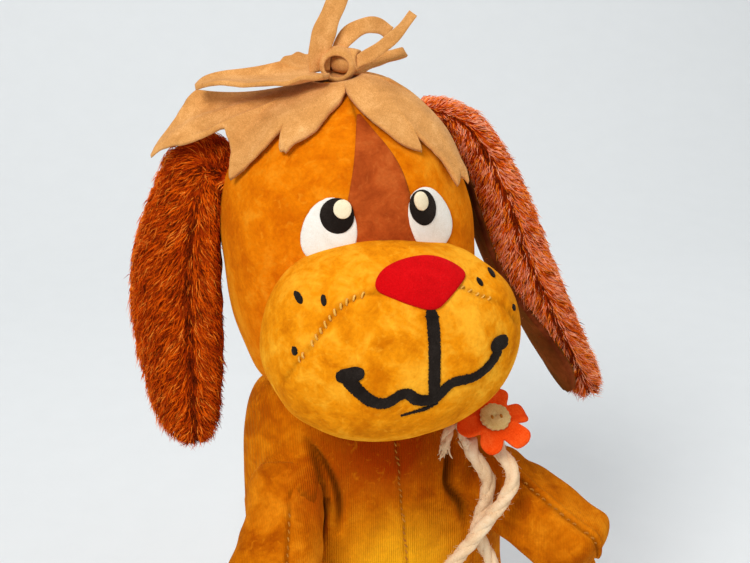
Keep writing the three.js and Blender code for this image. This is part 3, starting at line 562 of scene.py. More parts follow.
def oval(middle, wide, high, taper=0.0, tilt=0.0, count=56, square=0.0, ragged=0.0, seed=0):
    angle = 2 * math.pi * np.arange(count) / count
    y = high * np.sin(angle)
    x = wide * np.cos(angle) * (1 + taper * np.sin(angle)) * (1 + square * np.sin(2 * angle) ** 2)
    y = y * (1 + square * np.sin(2 * angle) ** 2)
    wobble = 1 + ragged * np.random.default_rng(seed).normal(size=count)
    c, s = math.cos(math.radians(tilt)), math.sin(math.radians(tilt))
    return np.stack([middle[0] + (x * c - y * s) * wobble, middle[1] + (x * s + y * c) * wobble], -1)


def closed_spline(corners, count):
    p = np.asarray(corners, float)
    line = spline(np.vstack([p[-2:], p, p[:2]]), 24 * (len(p) + 3))
    start = np.argmin(np.linalg.norm(line[: len(line) // 2] - p[0], axis=1))
    end = len(line) // 2 + np.argmin(np.linalg.norm(line[len(line) // 2:] - p[0], axis=1))
    ring = line[start:end + 1]
    return spline(ring, count + 1)[:-1]


# ---- the camera, at the photograph's viewing angle -----------------------------------------


def place_camera():
    azimuth, elevation, distance = math.radians(-12), math.radians(23), 480.0
    target = np.array([0.0, 0.0, 181.0])
    back = np.array([
        math.sin(azimuth) * math.cos(elevation), -math.cos(azimuth) * math.cos(elevation), math.sin(elevation)
    ])
    data = bpy.data.cameras.new("camera")
    data.sensor_width = 36.0
    data.lens = 68.77
    data.clip_start = 0.01
    camera = add_object("camera", data)
    camera.location = world(target + back * distance)
    camera.rotation_euler = (math.pi / 2 - elevation, 0, azimuth)
    bpy.context.scene.camera = camera


place_camera()

# ---- the tie's long yarn strands, the free cords -------------------------------------------

YARN = 5.0
STRANDS = {
    "left": [
        (24, -36, 138), (24.4, -38, 133.6), (27.3, -39, 129), (29.9, -39, 123.4), (29.7, -39, 116.9),
        (27.9, -39, 110.1), (26.8, -38.5, 103.3), (29.6, -38, 96.3), (32.6, -38, 89.8), (34, -38, 81),
        (33, -38.5, 71), (31, -38.5, 61), (30, -38.5, 51), (30.5, -38.5, 41),
    ],
    "right": [
        (32.6, -37.5, 139), (33, -41, 134.7), (35.6, -43.5, 131), (36.6, -45, 126.9), (35, -45.5, 121.7),
        (31.8, -45.5, 116.4), (27.2, -45.2, 110.1), (22.8, -44.4, 103.4), (17.5, -43, 95.3),
        (13.5, -41.5, 86),
        (11.5, -40.5, 76), (11, -40, 66), (12, -40, 56), (12.5, -40, 46),
    ],
}


def frame_along(path):
    ahead = unit(np.gradient(path, axis=0))
    side = np.cross(ahead[0], (0.0, 1.0, 0.2))
    sides = []
    for t in ahead:
        side = side - t * np.dot(side, t)
        side = side / np.linalg.norm(side)
        sides.append(side)
    sides = np.array(sides)
    return ahead, sides, np.cross(ahead, sides)


def yarn_plies(path, diameter, plies=3, pitch=24.0, seed=1, fuzz=420):
    """Soft plies twisted round a line, with loose fibres."""
    own = np.random.default_rng(seed)
    ahead, side, up = frame_along(path)
    walked = walk(path)
    thick = diameter * 0.34
    offset = diameter / 2 - thick
    parts = []
    for k in range(plies):
        turn = 2 * math.pi * (walked / pitch + k / plies) + 0.3 * np.sin(walked / 4.1 + k)
        line = path + offset * (np.cos(turn)[:, None] * side + np.sin(turn)[:, None] * up)
        swell = thick * (1 + 0.07 * np.sin(walked / 2.3 + 2 * k) + 0.05 * own.normal(size=len(path)))
        parts.append(tube(line, swell, 8))
    for _ in range(fuzz):
        k = own.integers(1, len(path) - 2)
        around = own.uniform(0, 2 * math.pi)
        out = math.cos(around) * side[k] + math.sin(around) * up[k]
        start = path[k] + out * diameter * 0.42
        lean = unit(ahead[k] * own.uniform(-1, 1) + out * own.uniform(0.1, 0.5))
        end = start + lean * own.uniform(0.8, 1.9)
        parts.append(tube(np.array([start, (start + end) / 2 + out * 0.15, end]), [0.07, 0.06, 0.03], 3))
    return merge(parts)


def frayed_end(tip, ahead, diameter, seed, count=16, reach=4.0):
    """Fibres that spread from a cut yarn."""
    own = np.random.default_rng(seed)
    parts = []
    for _ in range(count):
        start = tip + own.normal(size=3) * diameter * 0.17
        lean = ahead + own.normal(size=3) * 0.28
        end = start + lean / np.linalg.norm(lean) * reach * own.uniform(0.6, 1.0)
        middle = (start + end) / 2 + own.normal(size=3) * 0.25
        line = spline([start - ahead * 1.5, start, middle, end], 6)
        parts.append(tube(line, [0.42, 0.4, 0.36, 0.3, 0.22, 0.1], 5))
    return parts


def strand_piece(name):
    path = spline(STRANDS[name], 96)
    ahead = unit(path[-1] - path[-2])
    seed = 5 if name == "left" else 6
    fray = frayed_end(path[-1] - ahead, ahead, YARN, seed, 18, 2.4)
    points, faces = merge([yarn_plies(path, YARN, seed=seed), *fray])
    obj = piece(f"{name}_strand", points, faces, "yarn", "glove", [f"yarn_strand_{name}"])
    tuple(world(path[0]))
    [tuple(p) for p in world(path)]


for strand in STRANDS:
    strand_piece(strand)

# ---- the tie round the neck, its knot and its frayed tails ---------------------------------

GLOVE_Y = 2.0
SHOULDER_RISE = 7.0
TIE = {"wide": 36.0, "deep": 28.0, "height": 144.5, "thick": 4.4}


def tie_ring():
    angle = full_turn(240)
    rise = SHOULDER_RISE * np.cos(angle) ** 2
    height = TIE["height"] + rise
    path = np.stack([TIE["wide"] * np.cos(angle), GLOVE_Y + TIE["deep"] * np.sin(angle), height], -1)
    parts, thick = [], TIE["thick"] * 0.27
    out = np.stack([np.cos(angle), np.sin(angle), 0 * angle], -1)
    for k in range(3):
        turn = 17 * angle + 2 * math.pi * k / 3
        round_path = np.cos(turn)[:, None] * out + np.sin(turn)[:, None] * np.array([0, 0, 1.0])
        line = path + (TIE["thick"] / 2 - thick) * round_path
        line = np.vstack([line, line[:1]])
        parts.append(tube(line, thick, 8))
    return merge(parts)


def knot_wraps(centre, radii, strand=1.9):
    """A small yarn knot: three crossed loops."""
    angle = np.linspace(0, 2 * math.pi, 40)
    loops = []
    for tilt, squeeze in ((0.5, 1.0), (-0.7, 0.9), (1.5, 0.8)):
        ring = np.stack([np.cos(angle), 0.35 * np.sin(2 * angle), np.sin(angle)], -1) * radii * squeeze
        ring = ring @ spin(tilt).T
        loops.append(tube(ring * 0.62 + centre, strand * 0.62, 8))
    return merge(loops)


piece("tie", *tie_ring(), "yarn", "glove", ["tie_yarn"])
piece("tie_knot_wraps", *knot_wraps(np.array([20, -31.5, 144.6]), (5.2, 4.2, 4.0)), "yarn", "glove",
      ["tie_knot"])
TAILS = {
    "left": ([(19, -33.4, 144), (17, -35.8, 142), (15.8, -37.2, 139.6), (15.0, -37.6, 136.4)], 3.4),
    "right": ([(20.4, -34.2, 143.4), (21.3, -36.2, 141.2), (21.6, -37.0, 139.0), (22.4, -37.3, 137.0)], 3.0),
}
for name, (points, diameter) in TAILS.items():
    path = spline(points, 20)
    ahead = unit(path[-1] - path[-3])
    parts = [yarn_plies(path, diameter, seed=21 + len(name), pitch=11, fuzz=30)]
    parts += frayed_end(path[-1], ahead, diameter * 1.3, 31 + len(name), 22, 3.6)
    piece(f"tie_tail_{name}_fray", *merge(parts), "yarn", "glove", [f"tie_tail_{name}"])

# ---- the felt flower ------------------------------------------------------------------------


def flower():
    centre = np.array([31, -39.5, 145.8])
    normal = unit(np.array([0.02, -0.50, 0.87]))
    side = unit(np.cross((0, 0, 1.0), -normal))
    climb = np.cross(normal, side)
    turn = full_turn(180)
    sizes = np.array([1.0, 0.93, 1.03, 0.95, 1.0, 0.9])
    petal = ((turn + 0.35) / (2 * math.pi) * 6) % 6
    within = petal % 1
    which = petal.astype(int)
    notch = smoothstep(np.abs(within - 0.5), 0.3, 0.5)
    size = sizes[which] * (1 - notch) + 0.97 * notch
    edge_on = np.abs(np.cos(math.pi * within))
    lobe = 1 - 0.10 * edge_on**2.5 - 0.27 * edge_on**12 + 0.012 * np.sin(11 * turn)
    reach = 12.7 * size * lobe
    radii = np.linspace(0.02, 1, 15)
    rows = []
    for r in radii:
        radius = reach * r
        cup = 0.9 * np.sin(3 * turn + 0.6) * r**2 + 0.7 * np.cos(6 * turn + 0.35 * 6) * r**2 - 0.6 * r**2
        rows.append((radius * np.cos(turn), radius * np.sin(turn), cup))

    def layer(offset):
        flat = [centre + np.outer(x, side) + np.outer(y, climb) for x, y, h in rows]
        return np.stack([points + np.outer(h + offset, normal) for points, (x, y, h) in zip(flat, rows)])

    thick = np.array([1.3] * 13 + [1.15, 0.7])
    top = np.stack([layer(t)[k] for k, t in enumerate(thick)])
    points, faces = grid_shell(top, layer(0.0), wrap=True)
    piece("flower", points, faces, "orange", "glove", ["flower_petals"])
    edge = 5.0 * (1 + 0.02 * np.sin(7 * turn) + 0.025 * np.sin(17 * turn + 1))
    rows = []
    for r in (0.02, 0.4, 0.7, 0.92, 1):
        rows.append((edge * r * np.cos(turn), edge * r * np.sin(turn), 0.25 * (1 - r * r) + 1.75 + 0 * turn))
    top = np.stack([layer(t)[k] for k, t in enumerate((1.2, 1.2, 1.2, 1.1, 0.6))])
    points, faces = grid_shell(top, layer(0.0), wrap=True)
    piece("flower_button", points, faces, "flower_centre", "glove", ["flower_centre"])
    for k, x in enumerate((-1.7, 1.3)):
        base = centre + side * x + climb * 0.5 + normal * 3.1
        line = spline([base - climb * 0.9 - normal * 0.7, base, base + climb * 0.9 - normal * 0.7], 8)
        piece(f"flower_stitch_{k + 1}", *tube(line, 0.5, 8), "brown_thread", "glove")


flower()

# ---- the head and the muzzle -----------------------------------------------------------------


def normals_of(grid, wrap=True):
    if wrap:
        around = np.roll(grid, -1, axis=1) - np.roll(grid, 1, axis=1)
    else:
        around = np.gradient(grid, axis=1)
    down = np.gradient(grid, axis=0)
    normal = np.cross(around, down)
    return unit(normal)


def full_head(t, f):
    """The head's skin, whose cheeks stay wide below the middle."""
    x, y, z = HEAD["centre"]
    below = np.clip(-np.cos(t) * HEAD["bottom"] / 57.2, 0, 1)
    egg = np.sin(t) ** HEAD["full"]
    behind = smoothstep(np.sin(f), 0.2, 0.75)
    wide = np.where(np.cos(t) > 0, egg, egg * behind + (1 - below**3.2) ** (1 / 3.2) * (1 - behind))
    height = np.where(np.cos(t) > 0, HEAD["top"], HEAD["bottom"]) * np.cos(t)
    return np.stack([x + HEAD["a"] * wide * np.cos(f), y + HEAD["b"] * wide * np.sin(f), z + height], -1)


def head_cover():
    t = np.radians(np.linspace(2, 150, 96))
    f = np.radians(np.linspace(-90, 270, 150, endpoint=False))
    grid_t, grid_f = np.meshgrid(t, f, indexing="ij")
    centred = (np.minimum(np.abs(grid_f + math.pi / 2), np.abs(grid_f - math.pi / 2)) * 40 * np.sin(grid_t))
    seam = -0.5 * bell(centred, 0.8) + 0.12 * bell(centred - 2.2, 1.2)
    grow = seam[..., None]
    outer = full_head(grid_t, grid_f)
    normal = normals_of(outer)
    if (normal * (outer - np.array(HEAD["centre"]))).sum(-1).mean() < 0:
        normal = -normal
    outer = outer + normal * grow
    inner = outer - normal * 1.4
    # Darker along the seam groove: painted shade.
    shade = 0.5 * bell(centred, 0.6)
    return *grid_shell(from_head(outer), from_head(inner), wrap=True), shade


points, faces, shade = head_cover()
obj = piece("head_cover", points, faces, "head", "head", ["head_left_cover", "head_right_cover"], wear_and_painted_shade=shade)


def from_muzzle(points):
    """Muzzle points, its top drawn up on the left, in the drawing frame."""
    p = np.array(points, float)
    top = smoothstep(p[..., 2] - MUZZLE["centre"][2], 2, 28)
    p[..., 2] += top * (1.5 - 0.11 * p[..., 0])
    return from_head(p)


def muzzle_cover():
    t = np.radians(np.linspace(1, 179, 90))
    f = np.radians(np.linspace(0, 360, 140, endpoint=False))
    grid_t, grid_f = np.meshgrid(t, f, indexing="ij")
    outer = egg_point(MUZZLE, grid_t, grid_f, 0)
    normal = outer - egg_point(MUZZLE, grid_t, grid_f, -1.0)
    line = muzzle_seam(400)
    away = np.linalg.norm(outer[:, :, None, :] - line[None, None, ::4, :], axis=-1).min(-1)
    groove = -0.55 * bell(away, 0.9) + 0.25 * bell(away - 2.6, 1.4)
    outer = outer + normal * groove[..., None]
    inner = outer - normal * 1.4
    points, faces = grid_shell(outer, inner, wrap=True)
    deep = egg_level(HEAD, points, -3.0) < 1
    faces = [face for face in faces if not all(deep[i] for i in face)]
    # The last value darkens the cloth along the seam groove: painted shade.
    return from_muzzle(points), faces, 0.45 * bell(away, 0.7)


MUZZLE_SEAM = [
    (-38.5, -2), (-35.1, 4.2), (-32.5, 7.3), (-28.9, 11.2), (-26.7, 13.5), (-22.4, 17.3), (-18.5, 19.7),
    (-14, 21.2),
    (-7, 22.2), (4, 22.6), (11, 22), (16.8, 20.4), (21.6, 17.5), (25.5, 14.8), (29.2, 11.5), (31.5, 8.6),
    (36, 2),
]


def muzzle_seam(count):
    flat = spline(MUZZLE_SEAM, count)
    return front_of(MUZZLE)(flat, 0.0)


points, faces, shade = muzzle_cover()
covers = ["muzzle_upper_cover", "muzzle_lower_cover"]
piece("muzzle_cover", points, faces, "muzzle", "head", covers, wear_and_painted_shade=shade)


def stitches(line, normals, spacing, length, radius, seed, skip=0.15, slant=0.0, lift=0.15):
    """Short sewn stitches along a line, sunk at their ends."""
    own = np.random.default_rng(seed)
    walked = walk(line)
    parts = []
    for s in np.arange(spacing, walked[-1] - spacing, spacing):
        if own.random() < skip:
            continue
        s = s + own.normal() * spacing * 0.08
        p, n = (np.array([np.interp(s, walked, a[:, k]) for k in range(3)]) for a in (line, normals))
        q = np.array([np.interp(s + 0.5, walked, line[:, k]) for k in range(3)])
        ahead = (q - p) / np.linalg.norm(q - p)
        across = np.cross(n, ahead)
        ahead = ahead * math.cos(slant) + across * math.sin(slant)
        half = length / 2 * own.uniform(0.8, 1.15)
        path = np.array([p - ahead * half - n * 0.3, p - ahead * half * 0.6 + n * lift, p + n * (lift + 0.12),
                         p + ahead * half * 0.6 + n * lift, p + ahead * half - n * 0.3])
        parts.append(tube(spline(path, 7), radius * own.uniform(0.85, 1.15), 6))
    return merge(parts)


def egg_stitches(egg, flat, spacing, length, radius, seed, **more):
    draw = front_of(egg)
    low, high = draw(flat, 0.0), draw(flat, 1.0)
    low, high = from_muzzle(low), from_muzzle(high)
    return stitches(low, high - low, spacing, length, radius, seed, **more)


visible_seam = spline(MUZZLE_SEAM, 300)
piece("muzzle_stitches", *merge([
    egg_stitches(MUZZLE, visible_seam[18:125], 2.3, 1.6, 0.32, 3, skip=0.2, slant=0.9),
    egg_stitches(MUZZLE, visible_seam[190:270], 2.6, 1.4, 0.26, 4, skip=0.35, slant=0.9),
]), "thread", "head")

# ---- the face -------------------------------------------------------------------------------

face = front_of(HEAD)
snout = front_of(MUZZLE)
EYES = {
    "left": {
        "white": (-15.5, 10.6), "pupil": (-12.8, 15.5), "glint": (-11.0, 17.4), "tilt": -18,
        "sizes": ((7.3, 10.6), (4.5, 5.3), (2.35, 2.8)),
    },
    "right": {
        "white": (15.3, 9.2), "pupil": (13.0, 13.6), "glint": (12.2, 15.6), "tilt": 16,
        "sizes": ((7.2, 10.2), (4.2, 5.2), (2.1, 2.7)),
    },
}
for name, eye in EYES.items():
    white_size, pupil_size, glint_size = eye["sizes"]
    white = oval(eye["white"], *white_size, -0.10, eye["tilt"], 72, 0.02, 0.004, 1)
    points, faces = patch(face, eye["white"], white, 0.3, 0.8, dome=0.5)
    keep = egg_level(MUZZLE, points, -1.5) > 1
    faces = [f for f in faces if any(keep[i] for i in f)]
    piece(f"{name}_eye_felt", from_head(points), faces, "white", "head", [f"{name}_eye_white"])
    pupil = oval(eye["pupil"], *pupil_size, 0, eye["tilt"], 48, 0.0, 0.004, 2)
    points, faces = patch(face, eye["pupil"], pupil, 1.3, 0.7, 4, dome=0.3)
    piece(f"{name}_pupil_felt", from_head(points), faces, "black", "head", [f"{name}_eye_pupil"])
    glint = oval(eye["glint"], *glint_size, 0, eye["tilt"], 36, 0.02, 0.006, 3)
    points, faces = patch(face, eye["glint"], glint, 2.2, 0.6, 3, dome=0.2)
    piece(f"{name}_glint_felt", from_head(points), faces, "cream", "head", [f"{name}_eye_glint"])

NOSE = [(-14.3, 0.6), (-9.5, 5.4), (-1, 7.0), (9.5, 5.9), (16.6, 0.4), (11, -5.0), (4.6, -9.6),
        (1.2, -10.8), (-2.6, -9.8), (-9.5, -5.0)]
snout_top = facing(MUZZLE, (4, -18.5, 23.5))
points, faces = patch(snout_top, (0, -1), closed_spline(NOSE, 90), 0.3, 0.9, 9, dome=0.5)
piece("nose_felt", from_muzzle(points), faces, "red", "head", ["nose"])


def stroke(line, lift, thickness, rough=0.06, seed=1):
    """A drawn line on the snout through points of x, z and half-width, its ends rounded."""
    own = np.random.default_rng(seed)
    path = spline(line, 26 * len(line))
    ahead = unit(np.gradient(path[:, :2], axis=0))
    across = np.stack([-ahead[:, 1], ahead[:, 0]], -1)
    width = path[:, 2] * (1 + rough * own.normal(size=len(path)))
    walked = walk(path[:, :2])
    for end in (walked, walked[-1] - walked):
        width = width * np.sqrt(np.clip(1 - np.clip(1 - end / path[:, 2], 0, 1) ** 2, 0.02, 1))
    top, low = [], []
    for place, height in ((-1, 0.1), (-0.82, 0.8), (0, 1.0), (0.82, 0.8), (1, 0.1)):
        flat = path[:, :2] + across * (width * place)[:, None]
        top.append(snout(flat, np.full(len(path), lift + thickness * height)))
        low.append(snout(flat, np.full(len(path), float(lift))))
    return grid_shell(np.stack(top, 1), np.stack(low, 1))


SMILE = [
    (-22.4, 1.2, 2.1), (-20.8, -1.0, 2.1), (-18.4, -4.0, 1.9), (-15.4, -6.8, 1.8), (-11.4, -7.8, 1.7),
    (-6.1, -5.7, 1.6),
    (-2.4, -8.8, 1.8), (2.8, -9.6, 1.9), (8.8, -5.8, 1.7), (16.2, -6.1, 1.7), (22, -4.0, 1.8),
    (25.9, -0.2, 2.1),
]
UPRIGHT = [(5.2, 16.4, 2.1), (4.0, 8, 2.1), (3.0, -2, 2.0), (2.6, -9, 1.9)]
STRAY = [(-7.6, -13.1, 0.35), (-4.2, -12.8, 0.5), (-0.2, -12.6, 0.7), (3.9, -11.6, 0.45)]
parts = [stroke(SMILE, 0.2, 0.55, seed=2), stroke(UPRIGHT, 0.2, 0.6, seed=3),
         stroke(STRAY, 0.1, 0.25, 0.3, 4)]
for k, (spot, wide, high, tilt) in enumerate((((-21.0, 1.9), 4.1, 2.3, 4), ((25.7, 1.0), 3.5, 2.3, -8))):
    parts.append(patch(snout, spot, oval(spot, wide, high, 0, tilt, 32, 0.08, 0.03, k), 0.2, 0.6, 4))
points, faces = merge(parts)
piece("mouth_flock", from_muzzle(points), faces, "black", "head", ["mouth_line"])

WHISKERS = [(30.4, 19.4), (24.2, 19.8), (34.4, 8.2)]
for name, sign in (("left", -1), ("right", 1)):
    for k, (x, z) in enumerate(WHISKERS, 1):
        spot = (sign * x, z)
        dot = oval(spot, 0.75, 1.15, 0, 20 * sign, 22, 0, 0.05, k)
        points, faces = patch(snout, spot, dot, 0.1, 0.4, 3, dome=0.2)
        piece(f"whisker_{name}_{k}", from_muzzle(points), faces, "black", "head", [f"whisker_dot_{name}_{k}"])

BLAZE = [(0.6, 42, 0.5), (0.6, 33, 5.2), (0.6, 25, 8.2), (0.2, 17, 10.2), (0, 9, 11.4), (0, 0, 12.2)]


def blaze():
    rows = spline(BLAZE, 60)
    across = np.linspace(-1, 1, 25)
    flat = np.stack([rows[:, :1] + rows[:, 2:] * across, np.repeat(rows[:, 1:2], 25, 1)], -1)
    edge = 1 - np.clip((np.abs(across) - 0.9) / 0.1, 0, 1) ** 2
    top = face(flat, 0.25 + 0.55 * edge[None, :] * np.ones((60, 1)))
    low = face(flat, np.full((60, 25), 0.1))
    return grid_shell(from_head(top), from_head(low))


piece("blaze_patch", *blaze(), "blaze", "head", ["forehead_blaze"])


# ---- felt hair -------------------------------------------------------------------------------


def hair_point(azimuth, length, hug, lift, curl=0.0):
    """Walks down the head from the crown, then straight on along its tangent, with a droop."""
    t = np.linspace(0.001, 2.6, 900)
    f = np.radians(azimuth)
    line = egg_point(HEAD, t[None, :], np.asarray(f)[..., None], np.asarray(lift)[..., None])
    steps = np.linalg.norm(np.diff(line, axis=-2), axis=-1)
    walked = np.concatenate([np.zeros(line.shape[:-2] + (1,)), np.cumsum(steps, -1)], -1)
    held = np.minimum(length, hug)
    flat_w, flat_l = walked.reshape(-1, len(t)), line.reshape(-1, len(t), 3)
    held_flat = np.broadcast_to(held, line.shape[:-2]).reshape(-1)
    point, ahead = np.empty((len(held_flat), 3)), np.empty((len(held_flat), 3))
    for k, (w, l, h) in enumerate(zip(flat_w, flat_l, held_flat)):
        point[k] = [np.interp(h, w, l[:, n]) for n in range(3)]
        before, after = max(h - 0.8, 0), h + 0.8
        ahead[k] = [np.interp(after, w, l[:, n]) - np.interp(before, w, l[:, n]) for n in range(3)]
    ahead /= np.linalg.norm(ahead, axis=1)[:, None]
    free = np.broadcast_to(np.clip(length - hug, 0, None), line.shape[:-2]).reshape(-1)
    point = point + ahead * free[:, None]
    point[:, 2] -= 0.022 * np.clip(free - 30, 0, None) ** 2
    point[:, 2] += np.broadcast_to(curl, line.shape[:-2]).reshape(-1)
    return point.reshape(line.shape[:-2] + (3,))


FELT = 1.4


def flat_area(grid):
    a, b, c, d = grid[:-1, :-1], grid[1:, :-1], grid[:-1, 1:], grid[1:, 1:]
    halves = (np.cross(b - a, c - a), np.cross(b - d, c - d))
    return float(sum(np.linalg.norm(half, axis=-1) for half in halves).sum() / 2)


def felt_sheet(name, edge, hug, lift, start, curl, replaces, rows=34, seed=0):
    """A cut sheet of felt about the crown, its edge through azimuth and reach points."""
    edge = np.asarray(edge, float)
    u = np.linspace(0, len(edge) - 1, (len(edge) - 1) * 12 + 1)
    columns = len(u)
    corner = np.arange(len(edge))
    azimuth = np.interp(u, corner, edge[:, 0])
    sharp = np.interp(u, corner, edge[:, 1])
    reach = sharp + 0.35 * np.sin(math.pi * (u % 1)) * np.sin(2.3 * u + seed) + 0.10 * np.sin(9.1 * u)
    v = np.linspace(0, 1, rows)
    length = start + (reach[None, :] - start) * v[:, None]
    held = hug(azimuth)
    wave = 0.55 * np.sin(azimuth[None, :] / 7.5 + seed) * v[:, None] ** 2
    wave = wave + 0.35 * np.sin(azimuth[None, :] / 3.1 + 2 * seed) * v[:, None] ** 3
    rise = curl(azimuth)[None, :] * v[:, None] ** 2.4 + wave
    grid_az = np.broadcast_to(azimuth[None, :], length.shape)
    grid_hug = np.broadcast_to(held[None, :], length.shape)
    lean = np.minimum(1, v[:, None] * 3)
    low = hair_point(grid_az, length, grid_hug, lift + np.maximum(rise, -0.9) * lean)
    thick = FELT * np.where(v > 0.985, 0.55, 1.0)[:, None] * np.ones_like(length)
    high = hair_point(grid_az, length, grid_hug, lift + np.maximum(rise, -0.9) * lean + thick)
    points, faces = grid_shell(from_head(high), from_head(low))
    obj = piece(name, points, faces, "tan", "head", replaces)
    area = flat_area(low)
    return obj


HAIR = {
    "left": {
        "edge": [
            (-95, 12.5), (-96, 13.5), (-107, 19.5), (-115, 25.0), (-124, 31.5), (-134, 37.5), (-139, 36),
            (-142.5, 29.5),
            (-149, 36.5), (-157, 41.5), (-166, 49), (-169, 44), (-172, 39), (-174, 37.5), (-176, 44),
            (-179.5, 50),
            (-184, 54), (-189, 59), (-194, 53), (-199, 48), (-204, 44),
        ],
        "hug": lambda a: 10 + 5.5 * smoothstep(a, -189, -175) + 44 * smoothstep(a, -175, -166),
        "curl": lambda a: 0.9 * smoothstep(-a, 120, 150) + 6.0 * smoothstep(-a, 188, 204),
        "lift": 1.5,
    },
    "right": {
        "edge": [
            (-95, 12.5), (-93, 16), (-82.5, 28), (-72.5, 37), (-63.5, 42), (-61.5, 36.5), (-56, 42),
            (-51.5, 47),
            (-47.5, 57.5), (-44, 56), (-40, 60), (-35, 56.5), (-31, 58), (-27, 54), (-30, 30), (-36, 18),
        ],
        "hug": lambda a: 60 + 0 * a,
        "curl": lambda a: 1.2 * bell(a + 67, 9) + 1.0 * bell(a + 40, 9),
        "lift": 1.5,
    },
    "back": {
        "edge": [
            (30, 30), (40, 42), (50, 33), (62, 46), (74, 35), (88, 48), (102, 36), (116, 46), (128, 35),
            (142, 44),
        ],
        "hug": lambda a: 60 + 0 * a,
        "curl": lambda a: 0.9 + 0 * a,
        "lift": 1.5,
    },
    "top": {
        "edge": [
            (95, 13), (125, 16), (148, 18), (157, 30), (161, 38.5), (166, 41), (172, 41), (177, 38.5),
            (183, 35), (191, 30),
            (205, 23), (220, 18), (240, 14),
        ],
        "hug": lambda a: 1.5 + 0 * a,
        "curl": lambda a: 1.2 + 2.6 * (1 - smoothstep(a, 152, 184)),
        "lift": 4.1,
    },
}
for k, (name, felt_cut) in enumerate(HAIR.items()):
    felt_sheet(
        f"felt_hair_{name}", felt_cut["edge"], felt_cut["hug"], felt_cut["lift"], 8, felt_cut["curl"],
        [f"hair_felt_{name}"], seed=k,
    )

TOPKNOT_STRIPS = [
    ([(-5.6, -8.5, 106.8), (-5.2, -8.8, 111), (-4.2, -9, 115), (-2.0, -9.5, 120.5), (1.2, -10, 126.2),
      (4.4, -10.5, 131.5)],
     7.4, (0.1, -1, 0.1), 0.8),
    ([(1.2, -8.5, 110.5), (3.2, -8.2, 114.2), (7.0, -8.4, 117.4), (11.6, -8.8, 118.8), (15.6, -9, 117.9),
      (18.9, -9.5, 115.4)],
     5.6, (0, -1, 0.35), 0.8),
    ([(3.6, -12.2, 107.2), (6.5, -13, 108.6), (10.5, -15, 110.6), (15, -17, 113.6), (19.8, -18.5, 117.6),
      (24.4, -19.5, 122.6)],
     4.3, (-0.3, -1, 0.5), 0.7),
    ([(4.0, -10, 105.8), (7.2, -9.6, 106.0), (11, -9.2, 106.9), (15.5, -9.0, 107.9), (19.6, -9.2, 108.4),
      (23.4, -9.6, 109.2)],
     4.7, (0, -0.8, 0.7), 0.85),
]


def felt_strip(points, width, face_way, narrow, seed, thick=1.3, waist=0.15):
    """A flat strip of felt along points, turned to face a way, with a slight twist."""
    path = spline(points, 46)
    ahead = unit(np.gradient(path, axis=0))
    out = np.asarray(face_way, float)
    s = np.linspace(0, 1, len(path))
    across = unit(np.cross(ahead, out))
    out = np.cross(across, ahead)
    turn = 0.35 * np.sin(2.2 * s + seed)
    across, out = (np.cos(turn)[:, None] * across + np.sin(turn)[:, None] * out,
                   np.cos(turn)[:, None] * out - np.sin(turn)[:, None] * across)
    half = width / 2 * (1 - (1 - narrow) * smoothstep(s, 0.45, 1.0)) * (1 + 0.05 * np.sin(17 * s + seed))
    half = half * (1 - waist * (1 - smoothstep(s, 0, 0.3)))
    places = np.array([-1, -0.93, -0.5, 0, 0.5, 0.93, 1])
    cup = 0.35 * (places**2 - 0.5)
    fall = np.array([0.35, 0.95, 1, 1, 1, 0.95, 0.35])
    tip = np.ones(len(path))
    tip[-1] = 0.45
    base = path[:, None, :] + across[:, None, :] * (half[:, None] * places)[..., None]
    base = base + out[:, None, :] * (cup * width / 6)[None, :, None]
    lift = (thick / 2 * fall[None, :] * tip[:, None])[..., None] * out[:, None, :]
    return grid_shell(from_head(base + lift), from_head(base - lift))


for k, (points, width, face_way, narrow) in enumerate(TOPKNOT_STRIPS):
    strip = felt_strip(points, width, face_way, narrow, 1.7 * k)
    piece(f"topknot_ribbon_{k + 1}", *strip, "tan", "head", [f"topknot_strip_{k + 1}"])


def topknot():
    """The knot: one broad felt loop folded over a smaller one."""
    centre = np.array([0.6, -9.5, 108.2])
    parts = []
    for radius, tall, width, lean, shift in ((5.5, 5.0, 8.2, -0.5, (0, 0, 0)),
                                             (3.7, 3.3, 9.4, 0.75, (3.2, 0.6, 0.4))):
        angle = full_turn(40)
        ring = np.stack([radius * np.cos(angle), 0 * angle, tall * np.sin(angle)], -1)
        places = np.array([-1, -0.94, -0.6, -0.2, 0.2, 0.6, 0.94, 1])
        swell = 1 - 0.20 * places**2
        outward = np.stack([np.cos(angle), 0 * angle, np.sin(angle)], -1)
        fall = np.array([0.3, 1, 1, 1, 1, 1, 1, 0.3])
        grid = ring[None] * swell[:, None, None] + np.array([0, 1, 0]) * (places * width / 2)[:, None, None]
        thick = outward[None] * (0.7 * fall)[:, None, None]
        turn, middle = spin(lean).T, centre + np.array(shift)
        outer, inner = ((grid + side * thick) @ turn + middle for side in (1, -1))
        parts.append(grid_shell(from_head(outer), from_head(inner), wrap=True))
    core_line = centre + np.array([(-1.5, 3.4, -1.5), (1, 3.4, -1), (4.5, 2.4, -1)])
    core = tube(from_head(core_line), [1.4, 2.6, 1.6], 12)
    piece("topknot_loop", *merge([*parts, core]), "tan", "head", ["topknot_knot"])


topknot()

# ---- the ears --------------------------------------------------------------------------------

